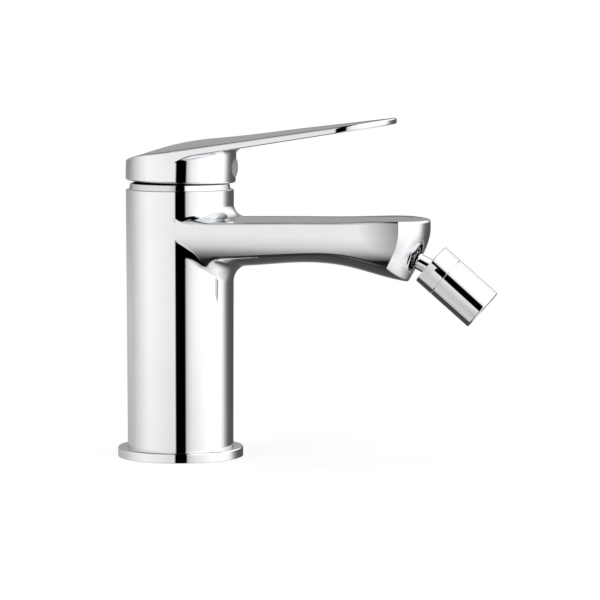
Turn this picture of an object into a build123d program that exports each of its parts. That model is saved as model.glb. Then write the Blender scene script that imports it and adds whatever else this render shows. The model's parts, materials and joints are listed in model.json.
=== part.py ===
from build123d import *
import math
import os

# Single-lever bidet mixer. Millimetres, +Z up, +X along the spout,
# origin on the deck, on the body's axis.

# Body: a slightly tapered round tube
foot_radius = 22.85
shoulder_radius = 23.25
shoulder_height = 115.4
shoulder_round = 0.6
overrun = 2.0
slide_gap = 0.1
soft_gap = 0.3

# Foot flange and its gasket
flange_width = 4.25
flange_radius = foot_radius + flange_width
flange_height = 4.2
flange_round = 0.8
gasket_margin = 1.1
gasket_inner_radius = foot_radius + gasket_margin
gasket_outer_radius = flange_radius - gasket_margin
gasket_thickness = 1.6

# Space for the hoses in the foot, and the block above it that holds their threads
hose_space_radius = 18.6
hose_space_height = 52.0
hose_offset = 8.5
hose_thread_radius = 4.46
hose_thread_length = 12.0
stud_offset = 12.6
stud_thread_radius = 3.32
stud_thread_length = 14.0
inlet_radius = 3.4
block_fit = 0.05
block_spigot_height = 2.0

# Spout: half widths, heights and reach, then shares that shape it
spout_half_width = 22.9
spout_reach = 108.4
spout_root_height = 103.4
spout_tip_height = 104.1
spout_root_depth = 21.4
spout_root_underside = spout_root_height - spout_root_depth
spout_crown = 1.4
spout_belly = 4.4
spout_belly_half_width = 20.0
spout_cutter_margin = 4.1
spout_cutter_half_width = spout_half_width + spout_cutter_margin
spout_level_step = 7.0
spout_level_count = 6
spout_station_start = 6.0
spout_station_step = 20.0
spout_corner_reach = 97.5
spout_corner_half_width = 20.7
spout_corner_radius = 3.0
spout_top_fillet = 5.0
spout_under_fillet = 6.0
# Shares of the half width, corner reach, corner half width and reach, level by level downwards
half_width_shares = (1.0, 1.0, 0.974, 0.865, 0.72, 0.546)
corner_reach_shares = (1.0, 1.0, 0.98, 0.944, 0.908, 0.872)
corner_width_shares = (1.0, 1.0, 0.918, 0.7, 0.459, 0.242)
reach_shares = (1.0, 1.0, 0.978, 0.9415, 0.905, 0.8715)
# Shares of the root-to-tip rise, crown, underside drop and belly, station by station outwards
top_rise_shares = (0.0, 0.18, 0.37, 0.59, 0.77, 1.0, -1.0)
crown_shares = (1.0, 1.0, 0.965, 0.93, 0.86, 0.43, 0.36)
underside_depth = 6.4
underside_shares = (0.0, 0.031, 0.164, 0.39, 0.125, -0.672, -1.0)
belly_shares = (1.0, 1.0, 1.01, 0.955, 1.36, 1.86, 2.05)

# Seat of the ball neck: a flat cut across the spout's chin
seat_slope = 27.7
seat_centre_reach = 101.5
seat_centre_rise = 0.87
seat_centre_height = spout_root_underside + seat_centre_rise
neck_rise = 3.3
neck_reach = 12.0

# Waterways in the spout
waterway_height = 94.6
waterway_start = 30.0
waterway_width = 28.0
waterway_depth = 9.5
waterway_round = 3.0
riser_radius = 3.4
riser_foot_reach = 16.0
riser_foot_height = 83.0

# Cartridge bore in the body
bore_floor = 80.0
bore_radius = 18.0
thread_depth = 1.2
thread_radius = bore_radius + thread_depth

# Cartridge shell
case_gap = 0.5
case_wall = 3.0
case_radius = bore_radius - case_gap
case_inner_radius = case_radius - case_wall
case_lip_depth = 1.6
case_lip_inner_radius = case_inner_radius - case_lip_depth
case_neck_radius = 15.5
case_length = 24.0
case_neck_height = 6.0
case_shoulder = bore_floor + case_length
case_top = case_shoulder + case_neck_height
base_height = 5.0
port_offset = 8.0
port_radius = 3.2
side_outlet_offset = 8.0
side_outlet_radius = 2.6
side_outlet_width = 6.0
side_outlet_height = 3.2
seal_inner_gap = 0.4
seal_inner_radius = port_radius + seal_inner_gap
seal_wall = 1.4
seal_outer_radius = seal_inner_radius + seal_wall
seal_thickness = 1.4
case_ring_drop = 3.0
case_ring_height = case_shoulder - case_ring_drop
ring_section_radius = 0.9

# Ceramic discs and the slider over them
fixed_disc_radius = case_inner_radius - soft_gap
fixed_disc_thickness = 3.4
disc_port_radius = 2.8
disc_gap = 0.05
moving_disc_thickness = 3.0
moving_chamber_radius = 5.0
moving_chamber_depth = 1.6
carrier_thickness = 5.4
carrier_wall = 1.3
carrier_skirt_drop = 1.6
carrier_rail_length = 16.0
carrier_rail_width = 10.0
carrier_rail_height = 1.9
pocket_radius = 3.2
pocket_floor_thickness = 1.2

# Lever stem, its pivot, and the turntable that carries it
pivot_height = 107.5
pivot_pin_radius = 1.5
pin_running_gap = 0.04
guide_gap = 0.35
guide_radius = case_inner_radius - guide_gap
guide_neck_radius = case_lip_inner_radius - guide_gap
guide_flange_top = 102.2
guide_rise = 3.2
guide_top = case_top + guide_rise
guide_slot_length = 15.6
stem_width = 8.0
stem_top = 126.4
stem_foot_drop = 6.0
stem_foot = pivot_height - stem_foot_drop
stem_finger_radius = 2.2
stem_finger_tip_radius = 2.7
finger_length = 11.5
lever_lift_range = 22.0
lever_rest_tilt = 1.55

# Nut that clamps the cartridge
nut_gap = 0.15
nut_inner_radius = case_neck_radius + nut_gap
nut_thread_height = 4.6
nut_head_height = 4.2
nut_thread_top = case_shoulder + nut_thread_height
nut_top = nut_thread_top + nut_head_height

# Domed ring between body and lever
ring_step = 1.45
ring_draft = 0.45
ring_radius = shoulder_radius - ring_step
ring_top_radius = ring_radius - ring_draft
ring_wall_height = 2.6
ring_dome_rise = 1.7
ring_opening_radius = 16.0
ring_thickness = 1.3
ring_spigot_radius = thread_radius - nut_gap
ring_spigot_wall = 1.2
ring_spigot_depth = 2.2

# Lever: a round hub and a flat paddle in one casting
hub_overhang = 0.45
hub_wall = 1.5
hub_radius = shoulder_radius + hub_overhang
hub_inner_radius = hub_radius - hub_wall
hub_rim_height = 118.85
hub_rim_round = 0.8
hub_ceiling_height = 127.0
paddle_end_centre = 69.4
paddle_end_draw = 0.3
paddle_end_radius = hub_radius - paddle_end_draw
paddle_slope = 10.03
paddle_edge_height = 132.45
paddle_edge_thickness = 3.6
paddle_tip_thickness = 2.6
paddle_fillet = 3.0
paddle_crown = 2.75
paddle_station_step = 24.0
paddle_cutter_half_width = hub_radius + spout_cutter_margin
paddle_crown_shares = (-0.45, 1.0, 0.8, 0.58, 0.3, 0.02)
socket_boss_radius = 8.4
socket_boss_foot = 121.0
socket_gap = 0.1

# Set screw and the plug that hides it
screw_height = 125.4
screw_radius = 2.5
screw_length = 9.0
screw_hex_radius = 1.45
screw_hex_depth = 3.0
screw_land = 2.25
plug_radius = 4.0
plug_seat_depth = 1.8
plug_dome = 0.9
plug_spigot_gap = 0.2
plug_spigot_length = 2.6
screw_bore_radius = 3.2
plug_spigot_radius = screw_bore_radius - plug_spigot_gap

# Ball neck
neck_radius = 3.52
ball_radius = 5.8
neck_bore_radius = 2.3
neck_thread_step = 0.48
neck_thread_radius = neck_radius + neck_thread_step
neck_thread_length = 7.4
neck_seal_thickness = 1.0
neck_seal_inner_radius = 2.6
ball_outlet_radius = 3.4
ball_outlet_depth = 2.0

# Nozzle, measured from the ball's centre along the nozzle
nozzle_slope = 41.1
nozzle_radius = 9.5
nozzle_back = 6.5
nozzle_front = 23.2
nozzle_joint = 1.9
nozzle_joint_gap = 0.25
nozzle_edge = 0.35
nozzle_pitch_range = 17.0
nozzle_yaw_range = 12.0
spanner_flat_depth = 1.0
spanner_flat_length = 3.5
spanner_flat_turn = 16.4
seat_gap = 0.2
seat_ring_thickness = 1.0
seat_ring_start_angle = 56.0
seat_ring_end_angle = 84.0
mouth_angle = 53.0
mouth_gap = 0.4
front_seat_start = 2.3
front_seat_length = 4.7
front_seat_bore = 3.0
front_seat_end = front_seat_start + front_seat_length
housing_exit_radius = 5.6
housing_lip_thickness = 1.6
housing_ring_place = 4.6
housing_ring_section = 0.7
sleeve_wall = 1.0
sleeve_fit = 0.2
sleeve_inner_radius = nozzle_radius - sleeve_wall
housing_spigot_radius = sleeve_inner_radius - sleeve_fit
insert_radius = sleeve_inner_radius - sleeve_fit
insert_length = 10.6
insert_recess = 1.2
insert_end = nozzle_front - insert_recess
insert_start = insert_end - insert_length
insert_rim = 1.1
insert_floor = 1.6
insert_rib_count = 6
insert_rib_width = 0.8
insert_ring_radii_shares = (0.3, 0.62)
insert_core_shares = (0.16,)
sleeve_lip_depth = 0.8
sleeve_lip_inner_radius = insert_radius - sleeve_lip_depth
screen_thickness = 0.5
screen_hole_radius = 0.55
screen_pitch = 1.75
washer_thickness = 1.5
washer_start = insert_start - screen_thickness - washer_thickness
housing_end = washer_start


def ring(outer, inner, low, high):
    """A plain round ring about the Z axis, from one height to another."""
    blank = Pos(0, 0, low) * extrude(Circle(outer), high - low)
    bore = Pos(0, 0, low - overrun) * extrude(Circle(inner), high - low + 2 * overrun)
    return blank - bore


def disc(radius, low, high, x=0, y=0):
    """A plain round disc standing on a height."""
    return Pos(x, y, low) * extrude(Circle(radius), high - low)


def turned(points):
    """A solid turned about the Z axis from a closed outline of radius and height."""
    with BuildLine(Plane.XZ) as outline:
        Polyline(*points, close=True)
    return revolve(make_face(outline.line), Axis.Z)


def wide_circles(shape, radius):
    """Circular edges of a turned piece that are about as wide as a radius, or wider."""
    circles = [e for e in shape.edges() if e.geom_type == GeomType.CIRCLE]
    return [e for e in circles if e.radius > radius - slide_gap]


def torus_ring(radius, section, height):
    """A rubber ring of round section about the Z axis."""
    return Pos(0, 0, height) * Torus(radius, section)


# Directions and places of the nozzle joint, in the plane of the spout
seat_normal = Vector(math.cos(math.radians(seat_slope)), 0, -math.sin(math.radians(seat_slope)))
seat_upward = Vector(math.sin(math.radians(seat_slope)), 0, math.cos(math.radians(seat_slope)))
seat_centre = Vector(seat_centre_reach, 0, seat_centre_height)
neck_foot = seat_centre + seat_upward * neck_rise
ball_centre = neck_foot + seat_normal * neck_reach
nozzle_direction = Vector(math.cos(math.radians(nozzle_slope)), 0, -math.sin(math.radians(nozzle_slope)))
neck_plane = Plane(origin=ball_centre, x_dir=(0, 1, 0), z_dir=seat_normal)
nozzle_plane = Plane(origin=ball_centre, x_dir=(0, 1, 0), z_dir=nozzle_direction)


def spout_level(index):
    """Horizontal outline of the spout at one level, counted down from its top."""
    height = spout_tip_height + slide_gap - index * spout_level_step
    half = spout_half_width * half_width_shares[index]
    corner_x = spout_corner_reach * corner_reach_shares[index]
    corner_y = spout_corner_half_width * corner_width_shares[index]
    nose = spout_reach * reach_shares[index]
    with BuildLine(Plane.XY.offset(height)) as outline:
        Line((0, -half), (corner_x, -corner_y))
        ThreePointArc((corner_x, -corner_y), (nose, 0), (corner_x, corner_y))
        Line((corner_x, corner_y), (0, half))
        Line((0, half), (0, -half))
    face = make_face(outline.line)
    corners = [v for v in face.vertices() if v.X > corner_x - slide_gap]
    corner_round = spout_corner_radius * min(1, 2 * corner_width_shares[index])
    return fillet(corners, corner_round)


def arched_section(x, middle, side, half_width, far):
    """Section across the spout or paddle: an arched edge closed by a straight far side."""
    with BuildLine(Plane.YZ.offset(x)) as outline:
        ThreePointArc((-half_width, side), (0, middle), (half_width, side))
        Line((half_width, side), (half_width, far))
        Line((half_width, far), (-half_width, far))
        Line((-half_width, far), (-half_width, side))
    return make_face(outline.line)


def spout_top_cutter():
    """Everything above the spout's gently crowned top."""
    rise = spout_tip_height - spout_root_height
    spread = (spout_cutter_half_width / spout_half_width) ** 2
    sections = []
    for index, (rise_share, crown_share) in enumerate(zip(top_rise_shares, crown_shares)):
        x = index * spout_station_step - spout_station_start
        middle = spout_root_height + rise * rise_share
        side = middle - spout_crown * crown_share * spread
        far = spout_tip_height + 2 * spout_level_step
        sections.append(arched_section(x, middle, side, spout_cutter_half_width, far))
    return loft(sections)


def spout_under_cutter():
    """Everything below the spout's arched and rounded underside."""
    spread = (spout_cutter_half_width / spout_belly_half_width) ** 2
    sections = []
    for index, (drop_share, belly_share) in enumerate(zip(underside_shares, belly_shares)):
        x = index * spout_station_step - spout_station_start
        middle = spout_root_underside + underside_depth * drop_share
        side = middle + spout_belly * belly_share * spread
        far = spout_root_underside - 3 * spout_level_step
        sections.append(arched_section(x, middle, side, spout_cutter_half_width, far))
    return loft(sections)


def spout():
    """The spout alone, from the body's axis to the flat seat of the nozzle joint."""
    sides = loft([spout_level(index) for index in range(spout_level_count)])
    seat = Plane(origin=seat_centre, x_dir=(0, 1, 0), z_dir=seat_normal)
    beyond_seat = extrude(seat * Rectangle(4 * spout_half_width, 4 * spout_half_width), spout_reach)
    return sides - spout_top_cutter() - spout_under_cutter() - beyond_seat


def on_body_wall(edge):
    """True for an edge that runs round the body's front, where the spout grows out."""
    for point in (edge @ 0, edge @ 0.5, edge @ 1):
        off_wall = abs(math.hypot(point.X, point.Y) - (foot_radius + shoulder_radius) / 2)
        if off_wall > soft_gap or point.X < 0 or not hose_space_height < point.Z < case_top:
            return False
    return True


def body_blank():
    """The body as a full round bar, before anything is bored, with its seam turned to the back."""
    bar = turned(((0, 0), (foot_radius, 0), (shoulder_radius, shoulder_height), (0, shoulder_height)))
    return Rot(0, 0, 180) * bar


def blended_skin():
    """Outer shape of the body and spout, with the soft blends between them."""
    skin = body_blank() + spout()
    middle_height = (spout_root_height + spout_root_underside) / 2
    upper = [e for e in skin.edges() if on_body_wall(e) and e.center().Z > middle_height + spout_level_step]
    skin = fillet(upper, spout_top_fillet)
    lower = [e for e in skin.edges() if on_body_wall(e) and e.center().Z < middle_height - overrun]
    return fillet(lower, spout_under_fillet)


def seat_socket():
    """Threaded hole for the ball neck, with room for its seal."""
    depth = neck_thread_length + neck_seal_thickness
    hole = Pos(0, 0, -neck_reach - depth) * extrude(Circle(neck_thread_radius), depth + overrun)
    return neck_plane * hole


def riser():
    """Sloping passage from the cartridge's side outlet into the spout."""
    climb = Vector(waterway_start + waterway_round - riser_foot_reach, 0, waterway_height - riser_foot_height)
    foot = Plane(origin=(riser_foot_reach, 0, riser_foot_height), x_dir=(0, 1, 0), z_dir=climb)
    return foot * extrude(Circle(riser_radius), climb.length)


def spout_waterway():
    """Flat chamber along the spout and the passage from it down to the nozzle joint."""
    socket_end = ball_centre - seat_normal * (neck_reach + neck_thread_length + neck_seal_thickness)
    link_length = (waterway_height - socket_end.Z) / math.sin(math.radians(seat_slope))
    link_plane = Plane(origin=socket_end, x_dir=(0, 1, 0), z_dir=seat_normal * -1)
    link = link_plane * (Pos(0, 0, -slide_gap) * extrude(Circle(neck_seal_inner_radius), link_length + slide_gap))
    chamber_end = (socket_end - seat_normal * link_length).X + neck_seal_inner_radius
    length = chamber_end - waterway_start
    chamber = Pos(waterway_start + length / 2, 0, waterway_height) * Box(length, waterway_width, waterway_depth)
    return fillet(chamber.edges(), waterway_round) + link


def body_tube():
    """Brass tube of the body, bored for the cartridge above and for the hoses below."""
    shoulder = wide_circles(body_blank(), shoulder_radius)
    tube = fillet(shoulder, shoulder_round)
    step_height = bore_floor - block_spigot_height
    tube -= disc(bore_radius, step_height - overrun, shoulder_height + overrun)
    tube -= disc(thread_radius, case_shoulder, shoulder_height + overrun)
    tube -= disc(hose_space_radius, -overrun, step_height)
    return tube - riser()


def spout_arm():
    """Cast spout with its blends, hollow inside, brazed against the body tube."""
    arm = blended_skin() - body_blank()
    return arm - spout_waterway() - riser() - seat_socket()


def hose_block():
    """Brass block brazed into the tube, with the hose threads, the stud thread and the inlets."""
    step_height = bore_floor - block_spigot_height
    block = disc(hose_space_radius - block_fit, hose_space_height, step_height)
    block += disc(bore_radius - block_fit, step_height - overrun, bore_floor)
    thread_end = hose_space_height + hose_thread_length
    for side in (-1, 1):
        block -= disc(inlet_radius, hose_space_height, bore_floor + overrun, y=side * hose_offset)
        block -= disc(hose_thread_radius, hose_space_height - overrun, thread_end, y=side * hose_offset)
    return block - disc(stud_thread_radius, hose_space_height - overrun,
                        hose_space_height + stud_thread_length, x=stud_offset)


def base_flange():
    """Foot ring with a groove for its gasket."""
    flange = ring(flange_radius, foot_radius + slide_gap, 0, flange_height)
    flange = fillet(wide_circles(flange, flange_radius), flange_round)
    return flange - ring(gasket_outer_radius, gasket_inner_radius, -overrun, gasket_thickness)


def base_gasket():
    """Rubber ring that fills the flange's groove down to the deck."""
    return ring(gasket_outer_radius, gasket_inner_radius, 0, gasket_thickness)


def cartridge_base():
    """Cartridge floor with two inlets, their seal pockets and an outlet to the side."""
    top = bore_floor + base_height
    base = disc(case_radius, bore_floor, top)
    for side in (-1, 1):
        base -= disc(port_radius, bore_floor - overrun, top + overrun, y=side * port_offset)
        base -= disc(seal_outer_radius, bore_floor - overrun, bore_floor + seal_thickness, y=side * port_offset)
    outlet_floor = top - side_outlet_height
    base -= disc(side_outlet_radius, outlet_floor, top + overrun, x=side_outlet_offset)
    channel_length = bore_radius - side_outlet_offset
    channel_middle = side_outlet_offset + channel_length / 2
    channel_height = side_outlet_height - seal_thickness
    base -= Pos(channel_middle, 0, outlet_floor + channel_height / 2) * Box(
        channel_length, side_outlet_width, channel_height)
    return base


def port_seals():
    """Two rubber rings between the cartridge floor and the body's bore."""
    rings = []
    for side in (-1, 1):
        seal = ring(seal_outer_radius, seal_inner_radius, bore_floor, bore_floor + seal_thickness)
        rings.append(Pos(0, side * port_offset, 0) * seal)
    return Compound(rings)


def cartridge_case():
    """Round plastic shell with a neck, a lip that keeps the turntable in, and a ring groove."""
    low = bore_floor + base_height
    shell = ring(case_radius, case_inner_radius, low, case_shoulder)
    shell += ring(case_neck_radius, case_inner_radius, case_shoulder, case_top)
    lip_floor = guide_flange_top + soft_gap
    shell += ring(case_neck_radius, case_lip_inner_radius, lip_floor, case_top)
    groove_depth = 2 * ring_section_radius - (bore_radius - case_radius)
    groove_half = ring_section_radius + slide_gap
    return shell - ring(case_radius + overrun, case_radius - groove_depth,
                        case_ring_height - groove_half, case_ring_height + groove_half)


def case_oring():
    """Rubber ring in the case's groove, against the bore."""
    return torus_ring(bore_radius - ring_section_radius, ring_section_radius, case_ring_height)


def fixed_disc():
    """Lower ceramic disc with two inlet ports and one outlet port."""
    low = bore_floor + base_height
    plate = disc(fixed_disc_radius, low, low + fixed_disc_thickness)
    for side in (-1, 1):
        plate -= disc(disc_port_radius, low - overrun, low + fixed_disc_thickness + overrun, y=side * port_offset)
    return plate - disc(side_outlet_radius, low - overrun, low + fixed_disc_thickness + overrun,
                        x=side_outlet_offset)


slide_travel = finger_length * math.radians(lever_lift_range)
slider_rest_place = -slide_travel / 2
carrier_radius = case_inner_radius - slide_travel / 2 - soft_gap - slide_gap
moving_disc_radius = carrier_radius - carrier_wall
pocket_place = -finger_length * math.sin(math.radians(lever_rest_tilt))
moving_disc_foot = bore_floor + base_height + fixed_disc_thickness + disc_gap
carrier_foot = moving_disc_foot + moving_disc_thickness
guide_foot = carrier_foot + carrier_thickness - carrier_rail_height + soft_gap


def moving_disc():
    """Upper ceramic disc with the mixing chamber in its underside."""
    plate = disc(moving_disc_radius, moving_disc_foot, carrier_foot, x=slider_rest_place)
    return plate - disc(moving_chamber_radius, moving_disc_foot - overrun,
                        moving_disc_foot + moving_chamber_depth, x=slider_rest_place)


def disc_carrier():
    """Plastic slider over the upper disc, with a rail and the pocket for the stem's finger."""
    top = carrier_foot + carrier_thickness - carrier_rail_height
    slider = disc(carrier_radius, carrier_foot, top, x=slider_rest_place)
    skirt = ring(carrier_radius, moving_disc_radius, carrier_foot - carrier_skirt_drop, carrier_foot)
    slider += Pos(slider_rest_place, 0, 0) * skirt
    rail_middle = top + carrier_rail_height / 2
    slider += Pos(slider_rest_place, 0, rail_middle) * Box(
        carrier_rail_length, carrier_rail_width, carrier_rail_height)
    pocket_floor = carrier_foot + pocket_floor_thickness
    return slider - disc(pocket_radius, pocket_floor, top + carrier_rail_height + overrun, x=pocket_place)


def swing_guide():
    """Turntable that swings about the body's axis and carries the stem's pivot."""
    guide = disc(guide_radius, guide_foot, guide_flange_top) + disc(guide_neck_radius, guide_flange_top, guide_top)
    slot_height = guide_top - guide_foot + 2 * overrun
    guide -= Pos(0, 0, (guide_top + guide_foot) / 2) * Box(
        guide_slot_length, stem_width + 2 * soft_gap, slot_height)
    rail_slot_length = carrier_rail_length + slide_travel + 2 * soft_gap
    rail_slot_width = carrier_rail_width + 2 * soft_gap
    rail_top = carrier_foot + carrier_thickness
    rail_slot_height = rail_top + soft_gap - guide_foot
    guide -= Pos(0, 0, guide_foot + rail_slot_height / 2) * Box(rail_slot_length, rail_slot_width, rail_slot_height)
    pin_hole = Plane(origin=(0, -guide_radius, pivot_height), z_dir=(0, 1, 0))
    return guide - pin_hole * extrude(Circle(pivot_pin_radius), 2 * guide_radius)


def pivot_pin():
    """Steel pin across the turntable."""
    half_length = guide_neck_radius - soft_gap
    start = Plane(origin=(0, -half_length, pivot_height), z_dir=(0, 1, 0))
    return start * extrude(Circle(pivot_pin_radius), 2 * half_length)


def tilted(shape):
    """Turn a piece of the lever about its pivot into the closed position."""
    pivot = Axis((0, 0, pivot_height), (0, 1, 0))
    return shape.rotate(pivot, lever_rest_tilt)


def lever_stem():
    """Square stem with a pin hole and a rounded finger below it."""
    square_height = stem_top - stem_foot
    stem = Pos(0, 0, stem_foot + square_height / 2) * Box(stem_width, stem_width, square_height)
    finger_centre = pivot_height - finger_length
    stem += disc(stem_finger_radius, finger_centre, stem_foot + overrun)
    stem += Pos(0, 0, finger_centre) * Sphere(stem_finger_tip_radius)
    stem = chamfer(stem.edges().group_by(Axis.Z)[-1], soft_gap)
    hole = Plane(origin=(0, -stem_width, pivot_height), z_dir=(0, 1, 0))
    stem -= hole * extrude(Circle(pivot_pin_radius + pin_running_gap), 2 * stem_width)
    return tilted(stem)


def retaining_nut():
    """Brass ring nut with a hexagon head, screwed down on the cartridge's shoulder."""
    nut = disc(thread_radius - slide_gap / 2, case_shoulder, nut_thread_top)
    hexagon = RegularPolygon(thread_radius - slide_gap, side_count=6)
    nut += Pos(0, 0, nut_thread_top) * extrude(hexagon, nut_top - nut_thread_top)
    return nut - disc(nut_inner_radius, case_shoulder - overrun, nut_top + overrun)


def cover_ring():
    """Domed ring on the body's shoulder, with a spigot that centres it in the bore."""
    edge_height = shoulder_height + ring_wall_height
    crown_height = edge_height + ring_dome_rise
    spigot_inner = ring_spigot_radius - ring_spigot_wall
    spigot_foot = shoulder_height - ring_spigot_depth
    outline = (
        (ring_radius, shoulder_height),
        (ring_top_radius, edge_height),
        (ring_opening_radius, crown_height),
        (ring_opening_radius, crown_height - ring_thickness),
        (spigot_inner, edge_height - ring_thickness + soft_gap),
        (spigot_inner, spigot_foot),
        (ring_spigot_radius, spigot_foot),
        (ring_spigot_radius, shoulder_height),
    )
    return turned(outline)


def paddle_outline():
    """Lever seen from above: round hub, straight sides and a round end."""
    with BuildLine() as outline:
        ThreePointArc((0, hub_radius), (-hub_radius, 0), (0, -hub_radius))
        Line((0, -hub_radius), (paddle_end_centre, -paddle_end_radius))
        ThreePointArc((paddle_end_centre, -paddle_end_radius), (paddle_end_centre + paddle_end_radius, 0),
                      (paddle_end_centre, paddle_end_radius))
        Line((paddle_end_centre, paddle_end_radius), (0, hub_radius))
    return make_face(outline.line)


def paddle_height(x):
    """Height of the paddle's upper side edge at a distance from the axis."""
    return paddle_edge_height + x * math.tan(math.radians(paddle_slope))


def lever_top_cutter():
    """Everything above the lever's crowned top."""
    spread = (paddle_cutter_half_width / hub_radius) ** 2
    sections = []
    for index, share in enumerate(paddle_crown_shares):
        x = (index - 1) * paddle_station_step
        middle = paddle_height(x) + paddle_crown * share
        side = middle - paddle_crown * share * spread
        far = paddle_edge_height + 2 * hub_radius
        sections.append(arched_section(x, middle, side, paddle_cutter_half_width, far))
    return loft(sections)


def paddle_under_cutter():
    """The space below the paddle, in front of the hub."""
    far_x = paddle_end_centre + 2 * paddle_end_radius
    thick_at_hub = paddle_edge_thickness
    thick_at_end = paddle_tip_thickness - (paddle_edge_thickness - paddle_tip_thickness) / 2
    low = hub_rim_height - 2 * overrun
    with BuildLine(Plane.XZ) as outline:
        Polyline((-hub_radius, low), (-hub_radius, paddle_height(-hub_radius) - thick_at_hub),
                 (far_x, paddle_height(far_x) - thick_at_end), (far_x, low), close=True)
    return extrude(make_face(outline.line), 2 * hub_radius, both=True)


def meets_hub_front(edge):
    """True for a curved edge where the paddle's underside meets the hub."""
    if edge.geom_type == GeomType.LINE:
        return False
    for point in (edge @ 0, edge @ 0.5, edge @ 1):
        off_wall = abs(math.hypot(point.X, point.Y) - hub_radius)
        under_paddle = hub_ceiling_height < point.Z < paddle_height(point.X) - paddle_tip_thickness / 2
        if off_wall > slide_gap or not under_paddle:
            return False
    return True


def lever_handle():
    """Hub and paddle with the hollow over the cartridge and the socket for the stem."""
    blank_height = paddle_height(paddle_end_centre + 2 * paddle_end_radius) - hub_rim_height
    paddle = Pos(0, 0, hub_rim_height) * extrude(paddle_outline(), blank_height)
    paddle -= paddle_under_cutter()
    hub = disc(hub_radius, hub_rim_height, hub_rim_height + blank_height)
    handle = paddle + hub - lever_top_cutter()
    handle = fillet([e for e in handle.edges() if meets_hub_front(e)], paddle_fillet)
    rim = [e for e in handle.edges() if e.center().Z < hub_rim_height + slide_gap]
    handle = fillet(rim, hub_rim_round)
    handle -= disc(hub_inner_radius, hub_rim_height - overrun, hub_ceiling_height)
    handle += disc(socket_boss_radius, socket_boss_foot, hub_ceiling_height + slide_gap)
    land = Plane(origin=(0, 0, screw_height), z_dir=(1, 0, 0))
    handle += land * extrude(Circle(screw_radius + screw_land), hub_inner_radius + slide_gap)
    socket = stem_width + 2 * socket_gap
    handle -= Pos(0, 0, (socket_boss_foot + stem_top) / 2) * Box(
        socket, socket, stem_top - socket_boss_foot + 2 * socket_gap)
    handle -= Pos(0, 0, socket_boss_foot - overrun) * Box(socket, socket, 2 * overrun)
    handle -= land * extrude(Circle(screw_radius), hub_radius)
    outer_bore = Plane(origin=(stem_width / 2 + screw_length, 0, screw_height), z_dir=(1, 0, 0))
    handle -= outer_bore * extrude(Circle(screw_bore_radius), hub_radius)
    plug_bore = Plane(origin=(hub_radius - plug_seat_depth, 0, screw_height), z_dir=(1, 0, 0))
    handle -= plug_bore * extrude(Circle(plug_radius + slide_gap), hub_radius)
    return tilted(handle)


def lever_set_screw():
    """Grub screw from the hub's front to the flat of the stem, with a hexagon socket."""
    foot = Plane(origin=(stem_width / 2 + slide_gap / 2, 0, screw_height), z_dir=(1, 0, 0))
    screw = foot * extrude(Circle(screw_radius - slide_gap / 2), screw_length)
    head = Plane(origin=(stem_width / 2 + screw_length - screw_hex_depth, 0, screw_height), z_dir=(1, 0, 0))
    return tilted(screw - head * extrude(RegularPolygon(screw_hex_radius, side_count=6), screw_hex_depth + overrun))


def index_plug():
    """Domed round plug in the hub's front, turned about its own axis."""
    seat = hub_radius - plug_seat_depth
    tail = seat - plug_spigot_length
    bulge_radius = (plug_radius ** 2 + plug_dome ** 2) / (2 * plug_dome)
    bulge_centre = hub_radius + plug_dome - bulge_radius
    half_angle = math.asin(plug_radius / bulge_radius) / 2
    middle = (bulge_centre + bulge_radius * math.cos(half_angle), screw_height + bulge_radius * math.sin(half_angle))
    with BuildLine(Plane.XZ) as outline:
        Polyline((hub_radius + plug_dome, screw_height), (tail, screw_height),
                 (tail, screw_height + plug_spigot_radius), (seat, screw_height + plug_spigot_radius),
                 (seat, screw_height + plug_radius), (hub_radius, screw_height + plug_radius))
        ThreePointArc((hub_radius, screw_height + plug_radius), middle, (hub_radius + plug_dome, screw_height))
    return tilted(revolve(make_face(outline.line), Axis((0, 0, screw_height), (1, 0, 0))))


def ball_neck():
    """Hollow neck with its ball, screwed into the spout's seat."""
    thread_foot = -neck_reach - neck_thread_length
    neck = Pos(0, 0, -neck_reach) * extrude(Circle(neck_radius), neck_reach)
    neck += Pos(0, 0, thread_foot) * extrude(Circle(neck_thread_radius - slide_gap / 2), neck_thread_length)
    neck += Sphere(ball_radius)
    neck -= Pos(0, 0, thread_foot - overrun) * extrude(
        Circle(neck_bore_radius), neck_reach + neck_thread_length + ball_radius + 2 * overrun)
    mouth = Pos(0, 0, ball_radius - ball_outlet_depth) * Cone(neck_bore_radius, ball_outlet_radius,
                                                              ball_outlet_depth,
                                                              align=(Align.CENTER, Align.CENTER, Align.MIN))
    return neck_plane * (neck - mouth)


def neck_seal():
    """Rubber washer at the end of the neck's thread."""
    low = -neck_reach - neck_thread_length - neck_seal_thickness
    return neck_plane * ring(neck_thread_radius - slide_gap, neck_seal_inner_radius, low, low + neck_seal_thickness)


def ball_zone(radius, start_angle, end_angle):
    """Solid of a sphere between two cones about the axis, angles from the rearward side."""
    reach = 2 * nozzle_radius
    def edge(angle):
        return (reach * math.sin(math.radians(angle)), -reach * math.cos(math.radians(angle)))
    wedge = turned(((0, 0), edge(start_angle), edge(end_angle)))
    return Sphere(radius) & wedge


def rear_seat():
    """Slip ring behind the ball, round inside and out."""
    outer = ball_radius + seat_gap + seat_ring_thickness
    seat = ball_zone(outer, seat_ring_start_angle, seat_ring_end_angle) - Sphere(ball_radius + seat_gap)
    return nozzle_plane * seat


cavity_sphere_radius = ball_radius + seat_ring_thickness + 2 * seat_gap
cavity_radius = cavity_sphere_radius - seat_gap
front_seat_radius = cavity_radius - soft_gap
swivel_angle = math.hypot(nozzle_pitch_range, nozzle_yaw_range)
neck_lean = nozzle_back * math.tan(math.radians(swivel_angle))
mouth_radius = neck_lean + neck_radius / math.cos(math.radians(swivel_angle)) + mouth_gap


def front_seat():
    """Seal ring in front of the ball."""
    seat = ring(front_seat_radius, front_seat_bore, front_seat_start, front_seat_end)
    return nozzle_plane * (seat - Sphere(ball_radius + seat_gap))


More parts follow.
